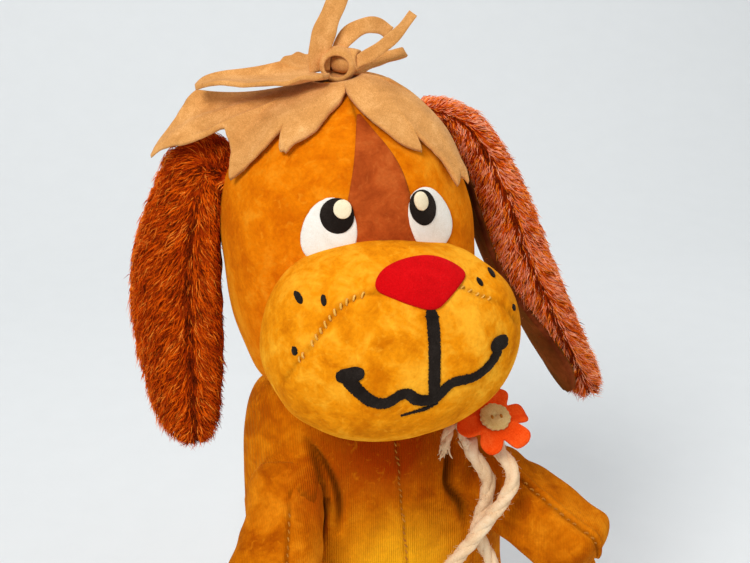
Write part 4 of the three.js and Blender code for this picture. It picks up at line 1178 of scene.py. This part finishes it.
EARS = {
    "left": {
        "root": [(-34, 5, 220.5), (-41, 5, 222), (-47, 5, 222)],
        "hang": [
            (-56.5, 5, 226), (-61, 5, 213), (-64.8, 5, 196), (-66.4, 5, 178), (-66, 4, 160),
            (-65.1, 3.5, 141), (-63.4, 3, 127),
        ],
        "headward": 1, "turn": -58,
    },
    "right": {
        "root": [(17, 11, 237.5), (24, 10, 236.5), (29.5, 9, 233.5)],
        "hang": [
            (33, 9, 230.5), (39.5, 9, 220), (46.5, 9, 203.5), (54, 8, 181.5), (64.5, 6, 158),
            (74.5, 5, 139), (79, 4, 130),
        ],
        "headward": -1, "turn": 15,
    },
}
EAR_WIDTHS = [8, 10.5, 13.5, 16, 17, 16, 13.5, 9.5]
EAR_DEPTHS = [5, 6, 7, 7.8, 8, 7.8, 7.4, 6.2]


class Ear:
    """An ear's centreline from its root to its tip, with its section's two directions."""

    def __init__(self, name, rows=120):
        ear = EARS[name]
        line = np.array([*ear["root"], *ear["hang"]], float)
        self.path = spline(line, rows)
        ahead = np.gradient(self.path, axis=0)
        ahead[:, 1] *= 0.6
        ahead /= np.linalg.norm(ahead, axis=1)[:, None]
        self.ahead = ahead
        back = np.array([0.0, 1.0, 0.0])
        level = np.cross(back, ahead)
        level *= -ear["headward"] / np.linalg.norm(level, axis=1)[:, None]
        turn = math.radians(ear["turn"])
        self.lining = math.cos(turn) * level - math.sin(turn) * back
        self.width = math.cos(turn) * back + math.sin(turn) * level
        self.walked = walk(self.path)
        join = np.argmin(np.linalg.norm(self.path - np.array(ear["hang"][0]), axis=1))
        place = np.interp(np.arange(rows), [0, join, rows - 1], [0, 1.0, 7.0])
        self.half_width = np.interp(place, range(8), EAR_WIDTHS)
        self.half_depth = np.interp(place, range(8), EAR_DEPTHS)
        self.belly = {"left": 0.0, "right": 4.5}[name]
        self.lining_front = {"left": 60, "right": 16}[name]

    def at(self, row, angle, shrink=0.0):
        """Points and outward normals on the ear's skin at fractional rows and angles."""
        rows = np.arange(len(self.path))
        pick = lambda table: np.stack([np.interp(row, rows, table[:, k]) for k in range(3)], -1)
        middle, lining, width = pick(self.path), pick(self.lining), pick(self.width)
        wide, deep = np.interp(row, rows, self.half_width), np.interp(row, rows, self.half_depth)
        c, s = np.cos(angle), np.sin(angle)
        deep = deep + self.belly * np.sin(math.pi * np.clip(row / rows[-1] / 0.8, 0, 1)) ** 2 * (c > 0) * c
        point = middle + lining * ((deep - shrink) * c)[..., None] + width * ((wide - shrink) * s)[..., None]
        normal = lining * (c / deep)[..., None] + width * (s / wide)[..., None]
        return point, unit(normal), pick(self.ahead), width


# How many rows the cloth's rounded ends take, and how far it lies below the ear's outer skin.
ROOT_ROWS, TIP_ROWS = 5, 10
UNDER_PILE = 2.6


def ear_base(ear, sides=48):
    """The ear's cloth under its pile, closed at both ends."""
    rows = range(len(ear.path))
    angle = full_turn(sides)
    points = []
    for k in rows:
        end, round_rows = (k, ROOT_ROWS) if k < len(rows) / 2 else (len(rows) - 1 - k, TIP_ROWS)
        squeeze = math.sqrt(1 - (1 - min(1, (end + 0.15) / round_rows)) ** 2)
        p, _, _, _ = ear.at(np.full(sides, float(k)), angle, UNDER_PILE)
        points.append(ear.path[k] + (p - ear.path[k]) * squeeze)
    faces = ring_faces(len(rows), sides)
    faces.append(tuple(range(sides)))
    last = (len(rows) - 1) * sides
    faces.append(tuple(reversed(range(last, last + sides))))
    points = np.concatenate(points)
    return points, face_out(points, faces)


def blades(roots, heads, outs, lengths, widths, droops, own):
    """Closed three-sided blades of pile, each rooted on the skin and bent over by its droop."""
    n = len(roots)
    side = unit(np.cross(heads, outs))
    middle = roots + outs * (lengths * 0.30)[:, None] + heads * (lengths * 0.28)[:, None]
    tip = middle + heads * (lengths * 0.5)[:, None] + outs * (lengths * 0.02)[:, None]
    tip[:, 2] -= lengths * droops
    tip += side * (lengths * own.normal(size=n) * 0.16)[:, None]
    points = np.empty((n, 7, 3))
    for k in range(3):
        turn = 2 * math.pi * k / 3
        swing = math.cos(turn) * side + math.sin(turn) * outs
        points[:, k] = roots - outs * 0.5 + swing * widths[:, None]
        points[:, 3 + k] = middle + swing * (widths * 0.75)[:, None]
    points[:, 6] = tip
    shape = np.array([(0, 2, 1), (0, 1, 4), (0, 4, 3), (1, 2, 5), (1, 5, 4), (2, 0, 3), (2, 3, 5),
                      (3, 4, 6), (4, 5, 6), (5, 3, 6)])
    faces = (shape[None] + 7 * np.arange(n)[:, None, None]).reshape(-1, 3)
    return points.reshape(-1, 3), faces


def ear_fur(ear, seed, count, part_at, tones, bare_from):
    """Pile that grows from the ear's skin away from a parting and hangs down its length."""
    own = np.random.default_rng(seed)
    total = len(ear.path) - 1
    row = np.interp(own.random(count * 2), np.cumsum(ear.half_width) / ear.half_width.sum(),
                    np.arange(total + 1))
    row = np.clip(row, 1.0, total - 0.5)
    angle = own.uniform(-math.pi, math.pi, count * 2)
    along = row / total
    keep = (angle <= bare_from(along)) | (angle >= 0.95) | (along <= 0.24) | (along >= 0.95)
    row, angle = row[keep][:count], angle[keep][:count]
    points, normals, ahead, width = ear.at(row, angle, UNDER_PILE)
    middle = np.stack([np.interp(row, np.arange(total + 1), ear.path[:, k]) for k in range(3)], -1)
    squeeze = np.sqrt(1 - (1 - np.clip((total - row + 0.15) / TIP_ROWS, 0, 1)) ** 2)[:, None]
    points = middle + (points - middle) * squeeze
    normals = unit(normals * squeeze + ahead * (1 - squeeze) * 1.5)
    away = turned(angle, part_at)
    push = np.sign(away) * np.clip(np.abs(away) / 0.35, 0.2, 1) * np.exp(-np.abs(away) / 1.1)
    tangent = -np.sin(angle)[:, None] * ear.at(row, angle * 0)[1] + np.cos(angle)[:, None] * width
    heads = ahead * 1.0 + tangent * push[:, None] * 1.25
    heads -= normals * (heads * normals).sum(-1)[:, None]
    heads += own.normal(size=heads.shape) * 0.16
    heads /= np.linalg.norm(heads, axis=1)[:, None]
    lengths = own.uniform(3.6, 6.4, len(row)) * np.where(np.abs(away) < 0.10, 0.7, 1.0)
    lengths *= np.clip(0.45 + row / total * 4, 0.5, 1)
    clump = np.sin(row * 0.9 + 3 * angle) * np.sin(row * 0.37 - 5 * angle + 1.0)
    outs = unit(normals + 0.25 * clump[:, None] * width)
    widths, droops = own.uniform(0.15, 0.25, len(row)), own.uniform(0.0, 0.14, len(row))
    p, f = blades(points, heads, outs, lengths, widths, droops, own)
    # Blades turned towards the rim angle score higher and take the lighter tones: a painted rim light.
    rim = turned(angle, tones["rim"])
    shade = own.random(len(row)) + 0.18 * clump + 0.34 * bell(rim, 0.6)
    tone = np.digitize(shade, tones["cuts"])
    # Most blades at the parting take the darkest tone: painted shade where the pile parts.
    tone = np.where((np.abs(away) < 0.085) & (own.random(len(row)) < 0.75), 0, tone)
    # Blades turned towards the shade angle, next to the head, drop to the dark tones: painted shade.
    inner = turned(angle, tones["shade"])
    shaded = (np.abs(inner) < 0.42) & (own.random(len(row)) < 0.7)
    tone = np.where(shaded, np.minimum(tone, 1) * (own.random(len(row)) < 0.4), tone)
    return p, f, np.repeat(tone, 10)


# Blades on each ear, the pile's tones with the angles of their painted rim light and painted shade, the angle
# of each parting and where the bare lining starts.
BLADES = 17000
PILE = ["pile_root", "pile_dark", "pile_middle", "pile_light"]
FUR = {
    "left": {
        "part_at": math.radians(-150),
        "looks": PILE,
        "tones": {"cuts": [0.07, 0.50, 0.92], "rim": math.radians(100), "shade": math.radians(-84)},
        "bare_from": lambda s: -0.95 + 0 * s,
    },
    "right": {
        "part_at": math.radians(-62),
        "looks": [*PILE, "pile_pink"],
        "tones": {"cuts": [0.04, 0.20, 0.42, 0.66], "rim": math.radians(-165), "shade": math.radians(70)},
        "bare_from": lambda s: -0.18 - 0.6 * smoothstep(s, 0.6, 0.95),
    },
}


def ear_lining(ear):
    """The smooth cloth that lines the ear's flat side."""
    rows = np.linspace(0.20, 0.965, 60) * (len(ear.path) - 1)
    places = np.linspace(-1, 1, 25)
    taper = np.sqrt(np.clip(1 - np.abs(np.linspace(-1, 1, 60)) ** 5, 0.02, 1))
    wide = places[None, :] * taper[:, None]
    wider = smoothstep(rows / (len(ear.path) - 1), 0.55, 0.95)
    front = np.radians(ear.lining_front) + np.radians(60 - ear.lining_front) * wider
    angle = np.where(wide < 0, front[:, None], np.radians(60)) * wide
    grid_row = np.broadcast_to(rows[:, None], angle.shape)
    low, normal, _, _ = ear.at(grid_row, angle, 0.0)
    hollow = 0.6 * (1 - places[None, :] ** 2)[..., None] * np.ones((60, 1, 1))
    edge = (1 - 0.7 * np.clip((np.abs(places) - 0.9) / 0.1, 0, 1))[None, :, None]
    pucker = (0.25 * np.sin(rows / 2.1)[:, None] * np.abs(places)[None, :] ** 3)[..., None]
    top = low + normal * (0.5 + 0.9 * edge - hollow + pucker)
    # Darker towards the root, where the lining lies in shadow: painted shade.
    shade = 0.8 * (1 - smoothstep(grid_row / (len(ear.path) - 1), 0.34, 0.62))
    return *grid_shell(top, low - normal * 0.6), shade


FLOP = {"left": ((-44, 5, 226), (-56, 5, 218)), "right": ((24, 9, 237), (36, 9, 227))}


def hinge_ear(obj, name):
    start, end = FLOP[name]
    tuple(world(start))
    tuple(world(end))
    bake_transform(obj)


for name, fur in FUR.items():
    ear = Ear(name)
    pad = piece(f"{name}_ear_pad", *ear_base(ear), "pile_dark", None,
                [f"{name}_ear_pile", f"{name}_ear_root"])
    hinge_ear(pad, name)
    points, faces, tone = ear_fur(ear, 41 + len(name), BLADES, fur["part_at"], fur["tones"], fur["bare_from"])
    looks = fur["looks"]
    plush = piece(f"{name}_ear_plush", points, faces, "pile_root", None, materials=looks, index=tone,
                  smooth=False)
    hinge_ear(plush, name)
    points, faces, shade = ear_lining(ear)
    piece(f"{name}_ear_inside", points, faces, "lining", f"ear_{name}", [f"{name}_ear_lining"], wear_and_painted_shade=shade)


# ---- the glove -------------------------------------------------------------------------------

GLOVE_PROFILE = [
    (50.5, 34.5, 5.0), (50.2, 34.4, 15), (49, 34, 30), (47.5, 33, 60), (46.5, 32, 90), (46, 31.5, 115),
    (45.5, 31, 128),
    (42.5, 30, 136), (36, 28, 140.5), (29, 26, 143), (25.5, 24, 143.9),
]
CLOTH = 1.5
ARMS = {
    "left": {
        "shoulder": (-35.5, -22.8, 117), "towards": (-0.17, -0.62, -0.77), "length": 45.0,
        "size": (13.4, 14.3),
        "square": 2.4, "flare": 6.0, "blunt": 12.0, "lip": 0.35, "seams": (104, 280),
    },
    "right": {
        "shoulder": (39, -20.6, 111), "towards": (0.67, -0.6, -0.47), "length": 41.5, "size": (12.3, 11.2),
        "square": 4.6, "flare": 0.0, "blunt": 7.5, "lip": 1.3, "seams": (62, 240),
    },
}
ROOT = 12.6
CREASES = [
    ([(-27.8, -23.1, 135), (-23.2, -25.2, 129.5), (-19.8, -26.3, 122), (-18, -26.9, 112.6),
      (-18.4, -26.8, 103)], 1.3, 2.6, 1.3),
    ([(-28.5, -25.6, 137), (-25.2, -27, 128), (-23.2, -27.5, 118.5), (-24.3, -27, 109.5),
      (-26.3, -25.8, 90)], 1.5, 2.6, 1.0),
    ([(19.8, -27.4, 133), (19.6, -27.4, 123), (19.8, -27.3, 115), (24.7, -25.5, 106), (27, -24.5, 98)], 1.5,
     2.8, 1.3),
    ([(34, -24, 128), (29.5, -25.5, 122), (27.5, -25.8, 116)], 2.2, 1.2, 0.5),
]


def arm_frame(name):
    ahead = unit(np.array(ARMS[name]["towards"], float))
    side = unit(np.cross(ahead, (0, 0, 1.0)))
    return np.array(ARMS[name]["shoulder"], float), ahead, side, np.cross(side, ahead)


def distance_to_line(points, line):
    """How far points are from a line of points, and how far along it the nearest one is."""
    best, at = np.full(points.shape[:-1], 1e9), np.zeros(points.shape[:-1])
    for k, p in enumerate(line):
        d = np.linalg.norm(points - p, axis=-1)
        at = np.where(d < best, k / (len(line) - 1), at)
        best = np.minimum(best, d)
    return best, at


VIEW_BACK = np.array([-0.191, -0.900, 0.391])


def seen_flat(points):
    """Points flattened along the main view's direction."""
    p = np.asarray(points, float)
    return p - (p @ VIEW_BACK)[..., None] * VIEW_BACK / (VIEW_BACK @ VIEW_BACK)


def crease(points, line, width, depth, ridge):
    away, along = distance_to_line(seen_flat(points), seen_flat(spline(line, 60)))
    fade = np.sin(math.pi * np.clip(along, 0.02, 0.98)) ** 0.45
    return fade * (ridge * bell(away - 2.3 * width, (1.1 * width)) - depth * bell(away, width))


def shoulder_field(points):
    """Distance to the sleeves' roots, the nearer of the two."""
    best = np.full(points.shape[:-1], 1e9)
    for name in ARMS:
        shoulder, ahead, _, _ = arm_frame(name)
        best = np.minimum(best, np.linalg.norm(points - shoulder, axis=-1) - (ROOT - 0.4))
    return best


def front_seam_x(z):
    return np.interp(z, [0, 88, 99, 111, 123, 136.5], [6.5, 4.7, 4.2, 3.0, 1.9, 0.8])


def glove_grid():
    profile = spline(GLOVE_PROFILE, 130)
    angle = full_turn(300)
    a, b, z = (profile[:, k][:, None] for k in range(3))
    rise = SHOULDER_RISE * smoothstep(z, 118, 143) * np.cos(angle)[None, :] ** 2
    grid = np.stack([a * np.cos(angle), GLOVE_Y + b * np.sin(angle), z + rise], -1)
    normal = normals_of(grid)
    if (normal[60, :, 0] * np.cos(angle)).mean() < 0:
        normal = -normal
    folds = 0.7 * np.sin(7 * angle + 1.3)[None, :] + 0.5 * np.sin(11 * angle + 0.4 + z / 40)
    grid = grid + normal * (folds * (1 - smoothstep(z, 20, 120)))[..., None]
    return grid, normal


def swell_shoulders(grid, normal):
    """Lifts the cloth along its normal until it wraps the sleeves' roots with a soft fillet."""
    highest, soft = 26.0, 6.0
    lift = np.full(grid.shape[:2], highest)
    for _ in range(60):
        p = grid + normal * lift[..., None]
        balls = shoulder_field(p)
        h = np.clip(0.5 + 0.5 * (balls - lift) / soft, 0, 1)
        both = balls * (1 - h) + lift * h - soft * h * (1 - h)
        lift = np.clip(lift - 0.7 * np.clip(both, -3, 3), 0, highest)
    return grid + normal * lift[..., None]


def glove_cloth():
    grid, normal = glove_grid()
    low = grid.copy()
    grid = swell_shoulders(grid, normal)
    normal = normals_of(grid)
    if (normal * (grid - low.mean(1, keepdims=True))).sum(-1).mean() < 0:
        normal = -normal
    change = 0.55 * wave3(grid, 13.0)[..., 0] + 0.22 * wave3(grid, 5.0, 3.0)[..., 1]
    facing_front = smoothstep(normal @ VIEW_BACK, 0.05, 0.3)
    deepest = np.zeros(grid.shape[:2])
    for line, width, depth, ridge in CREASES:
        fold = crease(grid, line, width, depth, ridge)
        deepest = np.minimum(deepest, fold)
        change = change + facing_front * fold
    front = grid[..., 1] < GLOVE_Y
    off = np.where(front, grid[..., 0] - front_seam_x(grid[..., 2]), 40.0)
    change += -0.75 * bell(off, 0.75) + 0.35 * bell(np.abs(off) - 2.0, 1.1)
    for side in (-1, 1):
        away = np.where(np.abs(grid[..., 1] - GLOVE_Y - 1) < 12, np.abs(grid[..., 1] - GLOVE_Y - 1), 40.0)
        reach = np.where(np.sign(grid[..., 0]) == side, away, 40.0)
        change += (-0.6 * bell(reach, 0.8) + 0.3 * bell(reach - 2.0, 1.2)) * (grid[..., 2] < 100)
    pucker = 0.22 * np.sin(grid[..., 2] / 1.15) * bell(off, 3.2)
    outer = grid + normal * (change + pucker)[..., None]
    # Darker in the creases, along the front seam and round the sleeves' roots: painted shade.
    shade = np.clip(-deepest / 2.0, 0, 1) * 0.9 * facing_front + 0.45 * bell(off, 0.55)
    for name in ARMS:
        shoulder, ahead, _, _ = arm_frame(name)
        along = np.clip((grid - shoulder) @ ahead, 0, 40)[..., None]
        gap = np.linalg.norm(grid - shoulder - ahead * along, axis=-1) - (ROOT + 1.0)
        shade += 0.75 * bell(gap, 2.2) * (along[..., 0] > 1)
    return outer, outer - normal * CLOTH, normal, np.clip(shade, 0, 0.95)


OUTER, INNER, OUT, SHADE = glove_cloth()
piece("glove_cloth", *grid_shell(OUTER, INNER, wrap=True), "glove", "glove",
      ["glove_front_left_panel", "glove_front_right_panel", "glove_back_panel"], wear_and_painted_shade=SHADE)


def surface_line(choose):
    """The line on the glove's cloth, row by row, whose column choose picks."""
    points, normals = [], []
    for row in range(len(OUTER)):
        k = choose(row)
        if k is not None:
            points.append(OUTER[row, k])
            normals.append(OUT[row, k])
    return np.array(points), np.array(normals)


def on_front_seam(row):
    front = OUTER[row, :, 1] < GLOVE_Y
    off = np.where(front, np.abs(OUTER[row, :, 0] - front_seam_x(OUTER[row, :, 2])), 99)
    return int(np.argmin(off)) if OUTER[row, int(np.argmin(off)), 2] > 9 else None


def smoothed(table):
    kernel = np.array([1, 2, 3, 2, 1]) / 9
    padded = np.vstack([table[:1], table[:1], table, table[-1:], table[-1:]])
    return np.stack([np.convolve(padded[:, k], kernel, "valid") for k in range(table.shape[1])], 1)


line, line_out = (smoothed(t) for t in surface_line(on_front_seam))
seam = stitches(line, line_out, 2.5, 2.0, 0.27, 9, skip=0.3, slant=0.5)
piece("front_seam_stitches", *seam, "brown_thread", "glove")

# ---- the hem, the sleeves and the neck ------------------------------------------------------

HEM = {"wide": 52.0, "deep": 36.0, "height": 8.0}


def hem_band():
    angle = full_turn(220)
    profile = [
        (-0.2, 0.0), (-1.2, 0.5), (-1.7, 1.6), (-1.6, 4), (-1.5, 7.2), (-0.9, 8.0), (0.2, 8.2), (1.0, 7.6),
        (1.35, 6.4),
        (1.1, 5.6), (1.7, 4.2), (1.75, 1.6), (1.2, 0.4),
    ]
    ring = closed_spline(profile, 40)
    wobble = 0.5 * np.sin(7 * angle + 1.3) + 0.3 * np.sin(11 * angle + 0.4)
    rows = []
    for out, z in ring:
        wide, deep = HEM["wide"] - 1.7 + out + wobble, HEM["deep"] - 1.7 + out + wobble
        rows.append(np.stack([wide * np.cos(angle), GLOVE_Y + deep * np.sin(angle), z + 0 * angle], -1))
    points = np.concatenate(rows)
    return points, face_out(points, ring_faces(len(ring), len(angle), closed=True))


piece("hem_fold", *hem_band(), "sleeve", "glove", ["hem_band"])
angle = np.linspace(0, 2 * math.pi, 400)
hem_line = np.stack([
    (HEM["wide"] - 0.7) * np.cos(angle), GLOVE_Y + (HEM["deep"] - 0.7) * np.sin(angle),
    6.0 + 0.15 * np.sin(9 * angle)
], -1)
hem_out = np.stack([np.cos(angle), np.sin(angle), 0 * angle], -1)
hem_seam = stitches(hem_line, hem_out, 3.4, 2.2, 0.26, 12, skip=0.04, slant=0.08, lift=0.25)
piece("hem_stitches", *hem_seam, "brown_thread", "glove")


def sleeve_grid(name, rows=110, columns=120):
    shoulder, ahead, side, up = arm_frame(name)
    angle = full_turn(columns)
    arm = ARMS[name]
    blunt = arm["blunt"]
    bend = arm["length"] - blunt
    root = np.linspace(-9.0, bend, 78)
    end = np.radians(np.linspace(0, 89, rows - 78 + 1)[1:])
    s = np.concatenate([root, bend + blunt * np.sin(end)])
    grown = smoothstep(s, 2, 15)
    ball = np.sqrt(np.clip(ROOT**2 - np.clip(s, None, 0) ** 2, 4, None))
    close = np.clip(1 - (np.clip(s - bend, 0, None) / (blunt + 0.02)) ** 2.5, 0, 1) ** (1 / 2.5)
    deep, high = ((ball + (size - ROOT) * grown) * close for size in arm["size"])
    power = 2 + (arm["square"] - 2) * grown
    c, w = np.cos(angle)[None, :], np.sin(angle)[None, :]
    round_off = (np.abs(c) ** power[:, None] + np.abs(w) ** power[:, None]) ** (-1 / power[:, None])
    reach = np.stack([deep[:, None] * c * round_off, high[:, None] * w * round_off], -1)
    flare = arm["flare"] * smoothstep(s, 8, 36) * close
    reach[..., 0] += flare[:, None] * np.clip(c * round_off, 0, 1)
    grid = shoulder + ahead * s[:, None, None] + side * reach[..., :1] + up * reach[..., 1:]
    return grid, s, angle


def sleeve(name):
    grid, s, angle = sleeve_grid(name)
    shoulder, ahead, _, _ = arm_frame(name)
    normal = normals_of(grid)
    middle = grid.mean(1, keepdims=True)
    if (normal * (grid - middle)).sum(-1).mean() < 0:
        normal = -normal
    change = 0.5 * wave3(grid, 9.0, 2.0)[..., 0] + 0.25 * wave3(grid, 4.0, 5.0)[..., 2]
    # The seams and the hollows of the wrinkles under the arm's root are darkened: painted shade.
    shade = np.zeros(grid.shape[:2])
    for degrees in ARMS[name]["seams"]:
        off = turned(angle[None, :], math.radians(degrees))
        off = off * 13.5 + 0 * s[:, None]
        shade += 0.6 * bell(off, 0.6)
        change += -0.6 * bell(off, 0.8) + ARMS[name]["lip"] * bell(off - 1.7, 1.3) + 0.25 * bell(off + 2, 1.3)
        change += 0.16 * np.sin(s / 1.1)[:, None] * bell(off, 3.0)
    under = turned(angle[None, :], math.radians(250))
    wrinkle = 0.9 * np.sin((s[:, None] - 3) / 2.6 + 0.6 * np.sin(2 * angle)[None, :]) * bell(under, 1.1)
    wrinkle = wrinkle * (smoothstep(s, 0, 6) * (1 - smoothstep(s, 14, 24)))[:, None]
    change += wrinkle
    shade = np.clip(shade + np.clip(-wrinkle - 0.2, 0, 1), 0, 0.9) * smoothstep(s, 2, 8)[:, None]
    change *= smoothstep(s, -4, 4)[:, None]
    outer = grid + normal * change[..., None]
    inner = outer - normal * CLOTH
    top = [shoulder + ahead * (ARMS[name]["length"] + lift) for lift in (0.0, -CLOTH)]
    points, faces = grid_shell(outer, inner, wrap=True)
    return points, faces, outer, normal, s, angle, top, shade


def close_tip(points, faces, rows, columns, tips):
    """Replaces the rim at the sleeve's far end by two caps."""
    layer = rows * columns
    rim = {(rows - 1) * columns + i for i in range(columns)}
    kept = [f for f in faces if not (any(i in rim for i in f) and any(i - layer in rim for i in f))]
    points = np.vstack([points, tips])
    outer_tip, inner_tip = len(points) - 2, len(points) - 1
    for i in range(columns):
        a, b = (rows - 1) * columns + i, (rows - 1) * columns + (i + 1) % columns
        kept.append((a, b, outer_tip))
        kept.append((layer + b, layer + a, inner_tip))
    return points, kept


def face_consistent(points, faces):
    mesh = bpy.data.meshes.new("turning")
    mesh.from_pydata([tuple(p) for p in points], [], faces)
    work = bmesh.new()
    work.from_mesh(mesh)
    bmesh.ops.recalc_face_normals(work, faces=work.faces)
    faces = [tuple(v.index for v in f.verts) for f in work.faces]
    work.free()
    bpy.data.meshes.remove(mesh)
    return points, face_out(points, faces)


for name in ARMS:
    points, faces, outer, normal, s, angle, tips, shade = sleeve(name)
    points, faces = face_consistent(*close_tip(points, faces, len(s), len(angle), tips))
    panels = [f"{name}_arm_inner_panel", f"{name}_arm_outer_panel"]
    piece(f"{name}_sleeve", points, faces, "sleeve", f"arm_{name}", panels, wear_and_painted_shade=shade)
    parts = []
    for k, degrees in enumerate(ARMS[name]["seams"]):
        column = int(round(degrees / 360 * len(angle))) % len(angle)
        rows = slice(int(np.searchsorted(s, 6)), len(s) - 6)
        line, line_out = smoothed(outer[rows, column]), smoothed(normal[rows, column])
        parts.append(stitches(line, line_out, 2.6, 1.3, 0.27, 60 + k, slant=0.35))
    piece(f"{name}_sleeve_stitches", *merge(parts), "brown_thread", f"arm_{name}")


def ball_belt(centre, radius, low, high, up, look_thick=1.3):
    t = np.radians(np.linspace(low, high, 24))
    f = full_turn(90)
    up = np.asarray(up, float) / np.linalg.norm(up)
    side = unit(np.cross(up, (0.31, 0.95, 0.1)))
    across = np.cross(up, side)
    out = np.cos(t)[:, None, None] * (np.cos(f)[None, :, None] * side + np.sin(f)[None, :, None] * across)
    out = out + np.sin(t)[:, None, None] * up
    lumps = 1 + 0.012 * np.sin(9 * f)[None, :, None]
    return grid_shell(centre + out * radius * lumps, centre + out * (radius - look_thick), wrap=True)


piece("neck_cover", *ball_belt(NECK, 21.2, -34, 40, (0, 0, 1)), "glove", "neck", ["neck_sleeve"])


def neck_gather():
    """The gathered cloth inside the collar, which closes the gap round the neck."""
    f = full_turn(180)
    collar = np.stack([26.2 * np.cos(f), 24.6 * np.sin(f), np.full(180, 142.7)], -1)
    throat = np.stack([NECK[0] + 20.6 * np.cos(f), NECK[1] + 20.6 * np.sin(f), np.full(180, 139.4)], -1)
    s = np.linspace(0, 1, 10)[:, None, None]
    top = collar + (throat - collar) * s
    pleats = 0.6 * np.sin(31 * f + 0.8 * np.sin(3 * f)) - 0.8
    top[..., 2] += pleats * np.sin(math.pi * s[..., 0])
    return grid_shell(top, top - np.array([0, 0, 1.1]), wrap=True)


piece("neck_gather", *neck_gather(), "glove", "glove")
for name in ARMS:
    shoulder, ahead, _, _ = arm_frame(name)
    piece(f"{name}_gusset", *ball_belt(shoulder, 11.0, -38, 38, ahead), "sleeve", f"shoulder_{name}",
          [f"{name}_armhole_gusset"])

# ---- the inside, the floor and the light ----------------------------------------------------

for node, look in (("head_stuffing", "fill"), ("muzzle_stuffing", "fill"), ("finger_tube", "card")):
    obj = frame["nodes"][node]
    obj.data.materials.clear()
    obj.data.materials.append(M[look])


def plain(name, tone, roughness=0.8):
    n = Nodes(name, roughness=roughness)
    grain = n.noise(60, 3.0)
    return n.colour(n.ramp(grain, [(0.3, tuple(c * 0.985 for c in tone)), (0.7, tone)]))


def backdrop():
    """A pale floor that curves up into a wall behind the puppet."""
    profile = [(-3.0, 0.0), (0.45, 0.0)]
    bend = np.linspace(0, math.pi / 2, 17)
    profile += [(0.45 + 0.6 * math.sin(t), 0.6 - 0.6 * math.cos(t)) for t in bend[1:]]
    profile.append((1.05, 3.0))
    points, faces = [], []
    for y, z in profile:
        points += [(-3.0, y, z - 0.0006), (3.0, y, z - 0.0006)]
    for k in range(len(profile) - 1):
        faces.append((2 * k, 2 * k + 1, 2 * k + 3, 2 * k + 2))
    mesh = bpy.data.meshes.new("backdrop")
    mesh.from_pydata(points, [], faces)
    mesh.materials.append(plain("pale_paper", (0.74, 0.76, 0.77)))
    mesh.polygons.foreach_set("use_smooth", np.ones(len(mesh.polygons), bool))
    obj = add_object("backdrop", mesh)


backdrop()


def area_light(name, place, aim, size, power, tone=(1, 1, 1)):
    data = bpy.data.lights.new(name, "AREA")
    data.shape = "DISK"
    data.size = size
    data.energy = power
    data.color = tone
    obj = add_object(name, data)
    obj.location = place
    way = np.asarray(aim, float) - np.asarray(place, float)
    yaw = math.atan2(way[1], way[0])
    flat = math.hypot(way[0], way[1])
    obj.rotation_euler = (math.pi / 2 + math.atan2(way[2], flat), 0, yaw - math.pi / 2)


area_light("key", (-0.55, -0.75, 1.05), (0, 0, 0.17), 0.5, 13.0, (1.0, 0.99, 0.97))
area_light("fill", (0.9, -0.8, 0.6), (0, 0, 0.15), 0.9, 3.0, (1.0, 1.0, 1.0))
area_light("top", (0.1, 0.5, 1.2), (0, 0, 0.15), 0.8, 5.0, (1.0, 1.0, 1.0))
sky = bpy.data.worlds.new("soft_room")
sky.use_nodes = True
sky.node_tree.nodes["Background"].inputs["Color"].default_value = (0.90, 0.93, 0.95, 1)
sky.node_tree.nodes["Background"].inputs["Strength"].default_value = 0.42
bpy.context.scene.world = sky
bpy.context.scene.view_settings.view_transform = "Standard"
